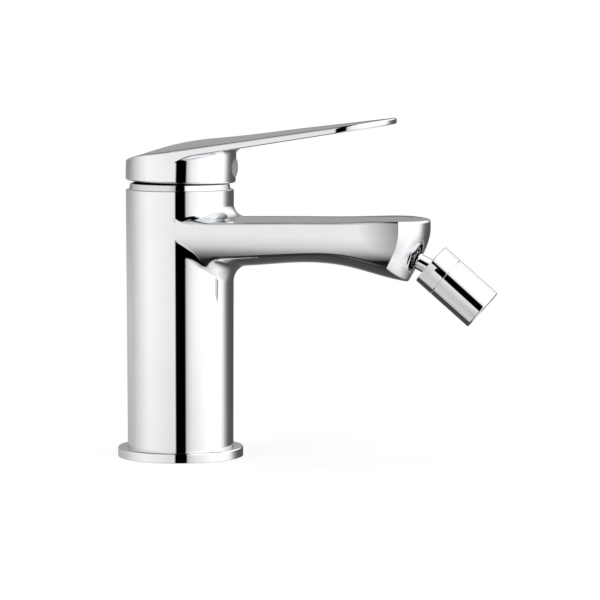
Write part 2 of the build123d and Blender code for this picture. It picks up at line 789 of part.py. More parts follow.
def ball_housing():
    """Upper shell of the nozzle: round cavity, flared mouth, two spanner flats and a thread."""
    shell = ring(nozzle_radius, front_seat_bore, -nozzle_back, nozzle_joint)
    shell += ring(housing_spigot_radius, front_seat_bore, nozzle_joint, housing_end)
    back_edges = [e for e in wide_circles(shell, nozzle_radius) if e.center().Z < 0]
    shell = chamfer(back_edges, nozzle_edge)
    mouth_edge_radius = cavity_sphere_radius * math.sin(math.radians(mouth_angle))
    mouth_edge_place = -cavity_sphere_radius * math.cos(math.radians(mouth_angle))
    grow = (mouth_radius - mouth_edge_radius) / (nozzle_back + mouth_edge_place)
    flare = turned((
        (0, mouth_edge_place + overrun),
        (mouth_edge_radius - grow * overrun, mouth_edge_place + overrun),
        (mouth_radius + grow * overrun, -nozzle_back - overrun),
        (0, -nozzle_back - overrun),
    ))
    cavity = Sphere(cavity_sphere_radius)
    cavity += extrude(Circle(cavity_radius), housing_end - housing_lip_thickness)
    throat = Pos(0, 0, housing_end - housing_lip_thickness - overrun) * extrude(
        Circle(housing_exit_radius), housing_lip_thickness + 2 * overrun)
    shell = shell - flare - cavity - throat
    for turn in (0, 180):
        flat = Pos(nozzle_radius + nozzle_radius / 2 - spanner_flat_depth, 0, -nozzle_back + spanner_flat_length / 2 - overrun / 2)
        block = Rot(0, 0, turn) * flat * Box(nozzle_radius, 2 * nozzle_radius, spanner_flat_length + overrun)
        shell -= Rot(0, 0, 180 + spanner_flat_turn) * block
    groove_floor = housing_spigot_radius - housing_ring_section
    groove_half = housing_ring_section + slide_gap
    shell -= ring(housing_spigot_radius + overrun, groove_floor, housing_ring_place - groove_half,
                  housing_ring_place + groove_half)
    return nozzle_plane * shell


def housing_oring():
    """Rubber ring between housing and sleeve."""
    middle = (housing_spigot_radius - housing_ring_section + sleeve_inner_radius) / 2
    section = (sleeve_inner_radius - housing_spigot_radius + housing_ring_section) / 2
    return nozzle_plane * torus_ring(middle, section, housing_ring_place)


def nozzle_sleeve():
    """Chrome sleeve of the aerator, with a lip that keeps the insert in."""
    low = nozzle_joint + nozzle_joint_gap
    sleeve = ring(nozzle_radius, sleeve_inner_radius, low, nozzle_front)
    sleeve += ring(sleeve_inner_radius + slide_gap, sleeve_lip_inner_radius, insert_end, nozzle_front)
    return nozzle_plane * chamfer(wide_circles(sleeve, nozzle_radius), nozzle_edge)


def aerator_insert():
    """Flow former: a rim with rings joined by ribs, open between them."""
    rim = ring(insert_radius, insert_radius - insert_rim, insert_start, insert_end)
    ribs_start = insert_end - 2 * insert_floor
    former = rim
    for share in insert_ring_radii_shares:
        middle = insert_radius * share
        former += ring(middle + insert_rib_width / 2, middle - insert_rib_width / 2, ribs_start, insert_end)
    former += disc(insert_radius * insert_core_shares[0], ribs_start, insert_end)
    rib_length = insert_radius - insert_rim / 2
    for index in range(insert_rib_count):
        angle = index * 360 / insert_rib_count
        rib = Pos(rib_length / 2, 0, (ribs_start + insert_end) / 2) * Box(
            rib_length, insert_rib_width, insert_end - ribs_start)
        former += Rot(0, 0, angle) * rib
    return nozzle_plane * former


def aerator_screen():
    """Thin round screen with rows of holes, on the insert."""
    low = insert_start - screen_thickness
    screen = disc(insert_radius, low, insert_start)
    usable = insert_radius - insert_rim - screen_hole_radius
    places = []
    row_count = int(usable / screen_pitch)
    for row in range(-row_count, row_count + 1):
        for column in range(-row_count, row_count + 1):
            x = row * screen_pitch
            y = column * screen_pitch
            if math.hypot(x, y) < usable:
                places.append(Location((x, y, low - overrun)))
    holes = [place * extrude(Circle(screen_hole_radius), screen_thickness + 2 * overrun) for place in places]
    return nozzle_plane * (screen - Compound(holes))


def aerator_gasket():
    """Rubber washer between the housing's end and the screen."""
    washer = ring(insert_radius, housing_exit_radius, washer_start, washer_start + washer_thickness)
    return nozzle_plane * washer


def main():
    """Build every piece and write one file for each."""
    pieces = {
        "body_tube": body_tube,
        "spout_arm": spout_arm,
        "hose_block": hose_block,
        "base_flange": base_flange,
        "base_gasket": base_gasket,
        "cartridge_base": cartridge_base,
        "port_seals": port_seals,
        "cartridge_case": cartridge_case,
        "case_oring": case_oring,
        "fixed_disc": fixed_disc,
        "moving_disc": moving_disc,
        "disc_carrier": disc_carrier,
        "swing_guide": swing_guide,
        "pivot_pin": pivot_pin,
        "lever_stem": lever_stem,
        "retaining_nut": retaining_nut,
        "cover_ring": cover_ring,
        "lever_handle": lever_handle,
        "lever_set_screw": lever_set_screw,
        "index_plug": index_plug,
        "ball_neck": ball_neck,
        "neck_seal": neck_seal,
        "rear_seat": rear_seat,
        "front_seat": front_seat,
        "ball_housing": ball_housing,
        "housing_oring": housing_oring,
        "nozzle_sleeve": nozzle_sleeve,
        "aerator_insert": aerator_insert,
        "aerator_screen": aerator_screen,
        "aerator_gasket": aerator_gasket,
    }
    os.makedirs("parts", exist_ok=True)
    for name, make in pieces.items():
        export_step(make(), f"parts/{name}.step")
    print("pivot height", pivot_height, "slide per radian", finger_length)
    print("ball centre", ball_centre, "nozzle direction", nozzle_direction)


main()
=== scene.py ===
import json
import logging
import math
from collections.abc import Callable, Sequence
from dataclasses import dataclass
from enum import Enum
from typing import ClassVar

import bpy
import numpy as np
from mathutils import Matrix, Vector

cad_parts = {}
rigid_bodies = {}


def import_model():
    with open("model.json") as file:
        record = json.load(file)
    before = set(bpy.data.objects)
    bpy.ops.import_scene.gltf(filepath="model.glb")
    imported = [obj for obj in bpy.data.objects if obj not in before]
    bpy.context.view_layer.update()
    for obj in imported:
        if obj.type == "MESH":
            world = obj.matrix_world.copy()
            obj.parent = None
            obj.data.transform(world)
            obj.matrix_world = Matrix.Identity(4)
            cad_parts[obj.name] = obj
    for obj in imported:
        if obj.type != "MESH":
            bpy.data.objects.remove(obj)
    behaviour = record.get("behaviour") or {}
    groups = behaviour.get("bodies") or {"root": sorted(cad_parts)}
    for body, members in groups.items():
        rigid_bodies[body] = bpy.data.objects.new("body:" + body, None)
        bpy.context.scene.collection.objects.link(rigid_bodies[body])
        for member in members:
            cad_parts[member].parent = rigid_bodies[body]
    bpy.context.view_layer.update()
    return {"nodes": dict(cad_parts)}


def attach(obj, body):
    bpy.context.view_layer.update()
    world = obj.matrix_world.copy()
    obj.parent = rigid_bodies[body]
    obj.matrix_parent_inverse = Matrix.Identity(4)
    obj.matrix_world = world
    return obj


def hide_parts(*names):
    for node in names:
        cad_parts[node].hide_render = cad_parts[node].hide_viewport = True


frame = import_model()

METRES_PER_MM = 0.001
MERGE_DISTANCE = 0.004 * METRES_PER_MM
CUT_THRESHOLD = 1e-8
ON_CUT = 2e-7
ON_FLAT = 2e-6
NEAR_SKIN_MM = 0.02
WIDEST_LEAN = math.radians(40)
INSIDE_MARGIN = 0.1
logging.basicConfig(level=logging.INFO, format="%(message)s")
log = logging.getLogger("bidet_mixer")

Outline = Sequence[tuple[float, float, float]]
Curve = Callable[[np.ndarray], np.ndarray]


# Small tools

def linear(code: str) -> tuple[float, float, float, float]:
    """Turn an sRGB hex colour into linear light.

    Args:
        code: six hex digits, such as "c8c9cb".

    Returns:
        Red, green, blue and an alpha of one.
    """
    parts = [int(code[i:i + 2], 16) / 255 for i in (0, 2, 4)]
    red, green, blue = (p / 12.92 if p <= 0.04045 else ((p + 0.055) / 1.055) ** 2.4 for p in parts)
    return red, green, blue, 1.0


def add_node(tree: bpy.types.NodeTree, kind: str, settings: dict[str, object] | None = None,
             links: dict[str | int, bpy.types.NodeSocket] | None = None) -> bpy.types.Node:
    """Add one node with its settings and the links that feed it.

    Args:
        tree: the node tree that gets the node.
        kind: Blender's name for the node's type.
        settings: values by the name of a property or of an input.
        links: sockets to plug in, by the name or the number of the input.

    Returns:
        The new node.
    """
    node = tree.nodes.new(kind)
    for name, value in (settings or {}).items():
        if name in node.inputs:
            node.inputs[name].default_value = value
        else:
            setattr(node, name, value)
    for place, socket in (links or {}).items():
        tree.links.new(socket, node.inputs[place])
    return node


def bare_material(name: str) -> bpy.types.Material:
    """Make a material whose node tree is still empty."""
    made = bpy.data.materials.new(name)
    made.use_nodes = True
    made.node_tree.nodes.clear()
    return made


def deselect_all() -> None:
    """Leave nothing selected, so that the next operator acts on its own piece only."""
    for each in bpy.context.view_layer.objects:
        each.select_set(False)


def make_active(piece: bpy.types.Object) -> None:
    """Select one piece alone and make it the active one."""
    deselect_all()
    piece.select_set(True)
    bpy.context.view_layer.objects.active = piece


def object_from(name: str, points: np.ndarray, faces: Sequence[Sequence[int]],
                edges: Sequence[tuple[int, int]] = ()) -> bpy.types.Object:
    """Make a mesh object from points in millimetres.

    Args:
        name: the new piece's name.
        points: one row of x, y, z for each point.
        faces: the corners of each face.
        edges: loose edges, for an outline that an operator will work on.

    Returns:
        The new object, linked to the scene.
    """
    mesh = bpy.data.meshes.new(name)
    mesh.from_pydata((np.asarray(points, float) * METRES_PER_MM).tolist(), list(edges), list(faces))
    mesh.update()
    piece = bpy.data.objects.new(name, mesh)
    bpy.context.scene.collection.objects.link(piece)
    return piece


def close_and_face_out(piece: bpy.types.Object) -> None:
    """Merge doubled points, drop what collapsed, and turn every face outwards."""
    make_active(piece)
    bpy.ops.object.mode_set(mode="EDIT")
    bpy.ops.mesh.select_mode(type="VERT")
    bpy.ops.mesh.select_all(action="SELECT")
    bpy.ops.mesh.remove_doubles(threshold=MERGE_DISTANCE)
    bpy.ops.mesh.dissolve_degenerate(threshold=MERGE_DISTANCE / 4)
    bpy.ops.mesh.select_all(action="SELECT")
    bpy.ops.mesh.normals_make_consistent(inside=False)
    bpy.ops.object.mode_set(mode="OBJECT")


def smooth_by_angle(piece: bpy.types.Object, degrees: float = 35.0) -> None:
    """Shade a piece smooth, with its edges kept crisp past an angle."""
    make_active(piece)
    bpy.ops.object.shade_smooth_by_angle(angle=math.radians(degrees))


def rounded_outline(corners: Outline, steps: int = 5, guard: float = 0.12) -> list[tuple[float, float]]:
    """Round the corners of a closed outline with arcs, each guarded by a close point on its flats.

    Args:
        corners: radius, height and rounding of each corner, in millimetres.
        steps: facets in each arc.
        guard: distance from an arc's end to the point that keeps the flat beside it flat.

    Returns:
        The outline's points as radius and height.
    """
    points: list[tuple[float, float]] = []
    for index, (radius, height, rounding) in enumerate(corners):
        here = np.array([radius, height])
        before = np.array(corners[index - 1][:2])
        after = np.array(corners[(index + 1) % len(corners)][:2])
        if rounding <= 0:
            points.append((radius, height))
            continue
        back = (before - here) / np.linalg.norm(before - here)
        ahead = (after - here) / np.linalg.norm(after - here)
        half = math.acos(float(np.clip(back @ ahead, -1, 1))) / 2
        leg = rounding / math.tan(half)
        middle = (back + ahead) / np.linalg.norm(back + ahead)
        centre = here + middle * rounding / math.sin(half)
        start, end = here + back * leg - centre, here + ahead * leg - centre
        points.append(tuple(here + back * (leg + guard)))
        for step in range(steps + 1):
            share = step / steps
            turn = math.acos(float(np.clip(start @ end / rounding ** 2, -1, 1)))
            mix = (start * math.sin((1 - share) * turn) + end * math.sin(share * turn)) / math.sin(turn)
            points.append(tuple(centre + mix))
        points.append(tuple(here + ahead * (leg + guard)))
    return points


def spun(name: str, corners: Outline, place: Matrix, segments: int = 144) -> bpy.types.Object:
    """Turn an outline round its own axis, as on a lathe.

    Args:
        name: the new piece's name.
        corners: radius, height and rounding of each corner of the closed outline.
        place: where the axis lies in the frame, in metres.
        segments: facets round the axis.

    Returns:
        The finished turned piece.
    """
    outline = rounded_outline(corners)
    points = np.array([(r, 0.0, h) for r, h in outline])
    edges = [(i, (i + 1) % len(points)) for i in range(len(points))]
    piece = object_from(name, points, (), edges)
    make_active(piece)
    bpy.ops.object.mode_set(mode="EDIT")
    bpy.ops.mesh.select_all(action="SELECT")
    bpy.ops.mesh.spin(steps=segments, angle=math.tau, center=(0, 0, 0), axis=(0, 0, 1))
    bpy.ops.object.mode_set(mode="OBJECT")
    close_and_face_out(piece)
    piece.data.transform(place)
    smooth_by_angle(piece)
    return piece


def axis_at(origin: Sequence[float], direction: Sequence[float]) -> Matrix:
    """Place an upright axis at a point and lean it along a direction.

    Args:
        origin: the point, in millimetres.
        direction: where the axis points.

    Returns:
        The matrix, in metres, with the frame's Y kept as its own X.
    """
    along = Vector(direction).normalized()
    first = Vector((0, 1, 0))
    second = along.cross(first)
    place = Matrix((first, second, along)).transposed().to_4x4()
    place.translation = Vector(origin) * METRES_PER_MM
    return place


def smooth_table(places: Sequence[float], values: Sequence[float]) -> Curve:
    """Make a smooth curve through a table, as a loft does through its sections.

    Args:
        places: rising places of the table.
        values: the value at each place.

    Returns:
        A function that gives the value at any place, held level past the ends.
    """
    knots, heights = np.array(places, float), np.array(values, float)
    count, gaps = len(knots), np.diff(knots)
    system, right = np.eye(count), np.zeros(count)
    for i in range(1, count - 1):
        system[i, i - 1:i + 2] = gaps[i - 1], 2 * (gaps[i - 1] + gaps[i]), gaps[i]
        ahead, behind = heights[i + 1] - heights[i], heights[i] - heights[i - 1]
        right[i] = 6 * (ahead / gaps[i] - behind / gaps[i - 1])
    bends = np.linalg.solve(system, right)

    def at(place: np.ndarray) -> np.ndarray:
        """Value of the curve at places."""
        where = np.clip(place, knots[0], knots[-1])
        i = np.clip(np.searchsorted(knots, where) - 1, 0, count - 2)
        a, b, gap = knots[i + 1] - where, where - knots[i], gaps[i]
        bent = (bends[i] * a ** 3 + bends[i + 1] * b ** 3) / (6 * gap)
        first = (heights[i] / gap - bends[i] * gap / 6) * a
        second = (heights[i + 1] / gap - bends[i + 1] * gap / 6) * b
        return bent + first + second

    return at


def arc_rise(across: np.ndarray, half_width: float, rise: np.ndarray) -> np.ndarray:
    """Rise of a circular arc above its middle, at a distance across.

    Args:
        across: distances from the middle.
        half_width: the distance at which the arc has its full rise.
        rise: the full rise there, of either sign.

    Returns:
        The rise at each distance.
    """
    size = np.maximum(np.abs(rise), 1e-6)
    radius = (half_width ** 2 + size ** 2) / (2 * size)
    return np.sign(rise) * (radius - np.sqrt(np.maximum(radius ** 2 - across ** 2, 0)))


def grid_faces(rows: int, columns: int, closed: bool, first: int = 0) -> list[tuple[int, int, int, int]]:
    """Faces of a grid of points stored row by row.

    Args:
        rows: number of rows.
        columns: number of points in each row.
        closed: whether the last column joins the first.
        first: index of the grid's first point.

    Returns:
        Four corners for each face.
    """
    faces = []
    for r in range(rows - 1):
        for c in range(columns if closed else columns - 1):
            d = (c + 1) % columns
            faces.append((first + r * columns + c, first + r * columns + d,
                          first + (r + 1) * columns + d, first + (r + 1) * columns + c))
    return faces


def from_grids(name: str, grids: Sequence[tuple[np.ndarray, bool]]) -> bpy.types.Object:
    """Join grids of points whose borders touch into one closed piece.

    Args:
        name: the new piece's name.
        grids: points shaped rows by columns by three, and whether each row is closed.

    Returns:
        The joined piece, faces outwards.
    """
    points, faces, first = [], [], 0
    for grid, closed in grids:
        rows, columns = grid.shape[:2]
        faces += grid_faces(rows, columns, closed, first)
        points.append(grid.reshape(-1, 3))
        first += rows * columns
    piece = object_from(name, np.concatenate(points), faces)
    close_and_face_out(piece)
    return piece


def slope_of(skin: Curve, points: np.ndarray, step: float = 2e-3) -> np.ndarray:
    """Direction in which a distance field grows fastest, at each point.

    Args:
        skin: the signed distance field, in millimetres.
        points: where to look.
        step: half the distance between the two samples on each axis.

    Returns:
        One vector for each point, about one long.
    """
    return np.stack([(skin(points + d) - skin(points - d)) / (2 * step) for d in np.eye(3) * step], axis=1)


def settled(skin: Curve, points: np.ndarray, turns: int = 16) -> np.ndarray:
    """Move points straight onto the skin of a distance field.

    Args:
        skin: the signed distance field, in millimetres.
        points: points near the skin.
        turns: how often to correct them.

    Returns:
        The same points on the skin.
    """
    p = points.reshape(-1, 3).copy()
    for _ in range(turns):
        slope = slope_of(skin, p)
        size = np.maximum((slope ** 2).sum(1), 0.25)
        p -= np.clip((skin(p) / size)[:, None] * slope, -0.8, 0.8)
    return p.reshape(points.shape)


def shade_from_skin(piece: bpy.types.Object, skin: Curve,
                    flat: tuple[Vector, Vector] | None = None) -> None:
    """Give the corners on a skin the skin's own normals, so that reflections run true.

    Args:
        piece: the finished piece, already smooth by angle.
        skin: the signed distance field that its outer faces follow, in millimetres.
        flat: a point, in metres, and the normal of a flat that keeps its own normal.
    """
    mesh = piece.data
    points = np.zeros(len(mesh.vertices) * 3)
    mesh.vertices.foreach_get("co", points)
    points = points.reshape(-1, 3)
    slope = slope_of(skin, points / METRES_PER_MM)
    size = np.linalg.norm(slope, axis=1)
    near = np.abs(skin(points / METRES_PER_MM)) < NEAR_SKIN_MM
    normals = slope / np.maximum(size, 1e-6)[:, None]
    corners = np.zeros(len(mesh.loops) * 3)
    mesh.corner_normals.foreach_get("vector", corners)
    corners = corners.reshape(-1, 3)
    owners = np.zeros(len(mesh.loops), int)
    mesh.loops.foreach_get("vertex_index", owners)
    totals = np.zeros(len(mesh.polygons), int)
    mesh.polygons.foreach_get("loop_total", totals)
    faces = np.zeros(len(mesh.polygons) * 3)
    mesh.polygons.foreach_get("normal", faces)
    faces = np.repeat(faces.reshape(-1, 3), totals, axis=0)
    agrees = (normals[owners] * faces).sum(1) > math.cos(WIDEST_LEAN)
    use = near[owners] & agrees
    result = np.where(use[:, None], normals[owners], corners)
    if flat:
        centre, upward = np.array(flat[0]), np.array(flat[1])
        on_flat = np.abs((points - centre) @ upward) < ON_FLAT
        result[on_flat[owners] & (faces @ upward > 0.2)] = upward
    mesh.normals_split_custom_set(result.tolist())


# Finishes

@dataclass(frozen=True)
class Finish:
    """What a surface is made of, as the shader shows it.

    Sizes are in millimetres. The pattern is a fine unevenness of the surface itself.
    """

    name: str
    colour: str
    second_colour: str
    metallic: float
    roughness: float
    rougher: float
    grain_mm: float
    bump_mm: float
    ior: float | None = None
    coat: float = 0.0

    def material(self) -> bpy.types.Material:
        """Build the node material, once for each finish."""
        found = bpy.data.materials.get(self.name)
        if found:
            return found
        made = bare_material(self.name)
        tree = made.node_tree
        place = add_node(tree, "ShaderNodeTexCoord")
        grain = add_node(tree, "ShaderNodeTexNoise",
                         {"Scale": 1 / (self.grain_mm * METRES_PER_MM), "Detail": 4.0, "Roughness": 0.55},
                         {"Vector": place.outputs["Object"]})
        tint = add_node(tree, "ShaderNodeValToRGB", links={"Fac": grain.outputs["Fac"]})
        tint.color_ramp.elements[0].position, tint.color_ramp.elements[1].position = 0.35, 0.65
        tint.color_ramp.elements[0].color = linear(self.colour)
        tint.color_ramp.elements[1].color = linear(self.second_colour)
        gloss = add_node(tree, "ShaderNodeMapRange",
                         {"To Min": self.roughness, "To Max": self.rougher}, {"Value": grain.outputs["Fac"]})
        bump = add_node(tree, "ShaderNodeBump", {"Strength": 1.0, "Distance": self.bump_mm * METRES_PER_MM},
                        {"Height": grain.outputs["Fac"]})
        shader = add_node(tree, "ShaderNodeBsdfPrincipled",
                          {"Metallic": self.metallic, "Coat Weight": self.coat},
                          {"Base Color": tint.outputs["Color"], "Roughness": gloss.outputs["Result"],
                           "Normal": bump.outputs["Normal"]})
        if self.ior:
            shader.inputs["IOR"].default_value = self.ior
        add_node(tree, "ShaderNodeOutputMaterial", links={"Surface": shader.outputs["BSDF"]})
        return made

    def dress(self, piece: bpy.types.Object) -> None:
        """Put the finish in every slot of a piece."""
        if not piece.data.materials:
            piece.data.materials.append(None)
        for index in range(len(piece.data.materials)):
            piece.data.materials[index] = self.material()


class Slot(Enum):
    """The record's material slots, each with the finish that it has here."""

    CHROME = "chrome_plate"
    PLUG = "plug_face"
    BRASS = "raw_brass"
    STEEL = "steel"
    RUBBER = "black_rubber"
    WHITE = "white_plastic"
    GREY = "grey_plastic"
    CERAMIC = "disc_ceramic"


FINISHES: dict[Slot, Finish] = {
    # Bright chrome over polished nickel: a mirror with a faint unevenness of the buffing under it
    Slot.CHROME: Finish("polished_chrome_plate", "f5f6f7", "f2f3f5", 1.0, 0.01, 0.03, 9.0, 0.0003),
    # Grey moulded ABS, slightly glossy
    Slot.PLUG: Finish("moulded_abs_grey", "b6b9bc", "b2b5b8", 0.0, 0.3, 0.34, 0.6, 0.0005, 1.53, 0.1),
    # Turned brass, dull where it is not plated
    Slot.BRASS: Finish("turned_brass", "c9a85e", "b8954e", 1.0, 0.28, 0.42, 0.6, 0.006),
    # Ground stainless steel
    Slot.STEEL: Finish("ground_stainless_steel", "b9bbbc", "a9abad", 1.0, 0.2, 0.34, 0.3, 0.003),
    # Moulded nitrile rubber, matt with a dusty bloom
    Slot.RUBBER: Finish("moulded_nitrile_rubber", "161616", "202020", 0.0, 0.6, 0.75, 0.25, 0.01, 1.52),
    # Moulded acetal, milky and waxy
    Slot.WHITE: Finish("moulded_acetal", "e6e5df", "dcdbd4", 0.0, 0.32, 0.45, 0.5, 0.004, 1.48),
    # Moulded glass-filled polyamide, speckled
    Slot.GREY: Finish("moulded_polyamide_grey", "6f7274", "5f6264", 0.0, 0.42, 0.55, 0.35, 0.006, 1.53),
    # Lapped alumina, smooth and a little off white
    Slot.CERAMIC: Finish("lapped_alumina", "eeece6", "e4e1d9", 0.0, 0.12, 0.2, 0.3, 0.001, 1.76),
}

# Cast brass that the plating doesn't reach, dull inside a chrome piece; its near-black colour is painted
# shade for the hollow
BARE_INSIDE_PAINTED_SHADE = Finish("bare_cast_inside_painted_shade", "37342f", "2c2a26", 1.0, 0.5, 0.62, 0.8, 0.01)

NODE_SLOTS: dict[Slot, tuple[str, ...]] = {
    Slot.CHROME: ("body_tube", "spout_arm", "base_flange", "cover_ring", "lever_handle", "ball_neck",
                  "ball_housing", "nozzle_sleeve"),
    Slot.PLUG: ("index_plug",),
    Slot.BRASS: ("retaining_nut", "hose_block"),
    Slot.STEEL: ("pivot_pin", "lever_set_screw", "lever_stem", "aerator_screen"),
    Slot.RUBBER: ("base_gasket", "port_seals", "case_oring", "neck_seal", "housing_oring", "aerator_gasket"),
    Slot.WHITE: ("cartridge_case", "cartridge_base", "rear_seat", "front_seat"),
    Slot.GREY: ("swing_guide", "disc_carrier", "aerator_insert"),
    Slot.CERAMIC: ("fixed_disc", "moving_disc"),
}


def settle(piece: bpy.types.Object, body: str, slot: Slot, nodes: Sequence[str]) -> None:
    """Give a new piece its finish, its body and the nodes that it stands for.

    Args:
        piece: the finished piece.
        body: the body that it rides on.
        slot: the record's slot for its finish.
        nodes: the frame's nodes that it stands for.
    """
    FINISHES[slot].dress(piece)
    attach(piece, body)
    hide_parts(*nodes)
    log.info("%s: %d faces on %s", piece.name, len(piece.data.polygons), body)


def dull_and_shade_inside(piece: bpy.types.Object, axis: Matrix, radius: float, height: float) -> None:
    """Give a hollow piece's inner faces the bare finish, near black as painted shade in the hollow.

    Args:
        piece: the chrome piece.
        axis: its axis.
        radius: inner faces lie nearer to the axis than this, in millimetres.
        height: inner faces lie lower along the axis than this, in millimetres.
    """
    # The second slot holds the near-black finish that paints shade in the hollow
    piece.data.materials.append(BARE_INSIDE_PAINTED_SHADE.material())
    back = axis.inverted()
    for face in piece.data.polygons:
        centre = (back @ face.center) / METRES_PER_MM
        if math.hypot(centre.x, centre.y) < radius and centre.z < height:
            face.material_index = 1


def dress_frame_nodes() -> None:
    """Give every node of the frame its node material."""
    for slot, names in NODE_SLOTS.items():
        for name in names:
            FINISHES[slot].dress(frame["nodes"][name])
        log.info("%s on %d nodes", slot.value, len(names))


# Body and spout

@dataclass
class BodyAndSpout:
    """Round body and flat spout under one unbroken skin of chrome. Sizes in millimetres."""

    foot_radius: float = 22.85
    shoulder_radius: float = 23.25
    shoulder_height: float = 115.4
    shoulder_round: float = 0.4
    thread_radius: float = 19.2
    thread_floor: float = 104.0
    bore_radius: float = 18.0
    bore_foot: float = 78.0
    hose_space_radius: float = 18.6
    reach: float = 108.4
    root_height: float = 103.4
    tip_height: float = 104.1
    root_underside: float = 82.0
    crown: float = 1.4
    belly: float = 4.4
    belly_half_width: float = 20.0
    section_half_width: float = 27.0
    level_step: float = 7.0
    level_gap: float = 0.1
    station_start: float = 6.0
    station_step: float = 20.0
    corner_reach: float = 97.5
    corner_half_width: float = 20.7
    corner_softness: float = 0.02
    rim_round: float = 0.9
    chine_round: float = 0.8
    under_blend: float = 6.4
    underside_depth: float = 6.4
    seat_slope: float = 27.7
    seat_reach: float = 102.2
    seat_rise: float = 0.87
    seat_round: float = 0.45
    patch_half_angle: float = 98.0
    patch_margin: float = 7.2

    # Blends of the skin, and how they grow away from the body's wall
    side_blend: float = 1.2
    side_setback: float = 0.12
    least_blend: float = 0.02
    least_round: float = 0.01
    top_blend_end: float = 20.0
    under_blend_start: float = 2.2
    under_blend_growth: float = 1.5
    under_scale: float = 0.9
    chine_growth: float = 0.6
    rim_growth: float = 0.5

    # Rows and columns of the skin's grid
    first_reach: float = 20.0
    bow_end: float = 0.55
    growth_steps: int = 38
    guess_above: float = 5.0
    guess_turns: int = 30
    back_columns: int = 50
    upper_row: float = 113.0
    lowest_row: float = 4.0
    low_rows: int = 22

    def __post_init__(self) -> None:
        """Work out the smooth tables that shape the spout."""
        stations = [i * self.station_step - self.station_start for i in range(7)]
        levels = [0.0, 1.0, 2.0, 3.0, 4.0, 5.0]
        self.top_share = smooth_table(stations, (0.0, 0.18, 0.37, 0.59, 0.77, 1.0, -1.0))
        self.crown_share = smooth_table(stations, (1.0, 1.0, 0.965, 0.93, 0.86, 0.43, 0.36))
        self.under_share = smooth_table(stations, (0.0, 0.031, 0.164, 0.39, 0.125, -0.672, -1.0))
        self.belly_share = smooth_table(stations, (1.0, 1.0, 1.01, 0.955, 1.36, 1.86, 2.05))
        self.width_share = smooth_table(levels, (1.0, 1.0, 0.957, 0.82, 0.62, 0.4))
        self.corner_reach_share = smooth_table(levels, (1.0, 1.0, 0.98, 0.944, 0.908, 0.872))
        self.corner_width_share = smooth_table(levels, (1.0, 1.0, 0.967, 0.82, 0.5, 0.2))
        self.top_blend_at = smooth_table((0, 2.5, 5, 7.5, 10, 15, self.top_blend_end),
                                         (1.2, 1.6, 1.7, 2.4, 3.8, 5.2, 5.4))
        self.reach_share = smooth_table(levels, (1.0, 1.0, 0.981, 0.952, 0.915, 0.88))
        slope = math.radians(self.seat_slope)
        self.seat_normal = (math.cos(slope), 0.0, -math.sin(slope))
        self.seat_centre = (self.seat_reach, 0.0, self.root_underside + self.seat_rise)
        close = np.array((0.0, 0.012, 0.028, 0.05, 0.085))
        middle = np.linspace(-0.915, 0.915, 52)[1:-1]
        self.across_shares = np.concatenate([-1 + close, middle, 1 - close[::-1]])
        close = np.array((0.0, 0.02, 0.045, 0.075, 0.12))
        middle = np.linspace(0.12, 0.88, 14)[1:-1]
        self.fall_shares = np.concatenate([close, middle, 1 - close[::-1]])

    def wall_radius(self, height: np.ndarray) -> np.ndarray:
        """Radius of the slightly tapered body at a height."""
        return self.foot_radius + (self.shoulder_radius - self.foot_radius) * height / self.shoulder_height

    def top(self, x: np.ndarray, y: np.ndarray) -> np.ndarray:
        """Height of the spout's crowned top."""
        middle = self.root_height + (self.tip_height - self.root_height) * self.top_share(x)
        full = self.crown * self.crown_share(x) * (self.section_half_width / self.shoulder_radius) ** 2
        return middle - arc_rise(y, self.section_half_width, full)

    def under(self, x: np.ndarray, y: np.ndarray) -> np.ndarray:
        """Height of the spout's arched underside."""
        middle = self.root_underside + self.underside_depth * self.under_share(x)
        full = self.belly * self.belly_share(x) * (self.section_half_width / self.belly_half_width) ** 2
        return middle + arc_rise(y, self.section_half_width, full)

    def plan(self, height: np.ndarray) -> tuple[np.ndarray, np.ndarray, np.ndarray, np.ndarray]:
        """Half width at the axis, corner reach, corner half width and reach at a height."""
        level = (self.tip_height + self.level_gap - height) / self.level_step
        half = self.wall_radius(height) * self.width_share(level)
        corner_x = self.corner_reach * self.corner_reach_share(level)
        corner_y = self.corner_half_width * self.corner_width_share(level)
        return half, corner_x, corner_y, self.reach * self.reach_share(level)

    def outline_point(self, share: float, height: np.ndarray) -> tuple[np.ndarray, np.ndarray]:
        """Point on the spout's plan: shares up to one lie along the side, up to two round the nose."""
        half, corner_x, corner_y, nose = self.plan(height)
        if share <= 1:
            return corner_x * share, half + (corner_y - half) * share
        radius = ((nose - corner_x) ** 2 + corner_y ** 2) / (2 * (nose - corner_x))
        angle = np.arcsin(np.clip(corner_y / radius, -1, 1)) * (2 - share)
        return nose - radius + radius * np.cos(angle), radius * np.sin(angle)

    @staticmethod
    def joined(first: np.ndarray, second: np.ndarray, radius: np.ndarray | float) -> np.ndarray:
        """Join two fields with a hollow fillet of a radius between them."""
        outside = np.maximum(np.minimum(first, second), radius)
        return outside - np.hypot(np.maximum(radius - first, 0), np.maximum(radius - second, 0))

    @staticmethod
    def crossed(first: np.ndarray, second: np.ndarray, radius: np.ndarray | float) -> np.ndarray:
        """Keep what lies in both fields, with the edge between them rounded to a radius."""
        inside = np.minimum(np.maximum(first, second), -radius)
        return inside + np.hypot(np.maximum(first + radius, 0), np.maximum(second + radius, 0))

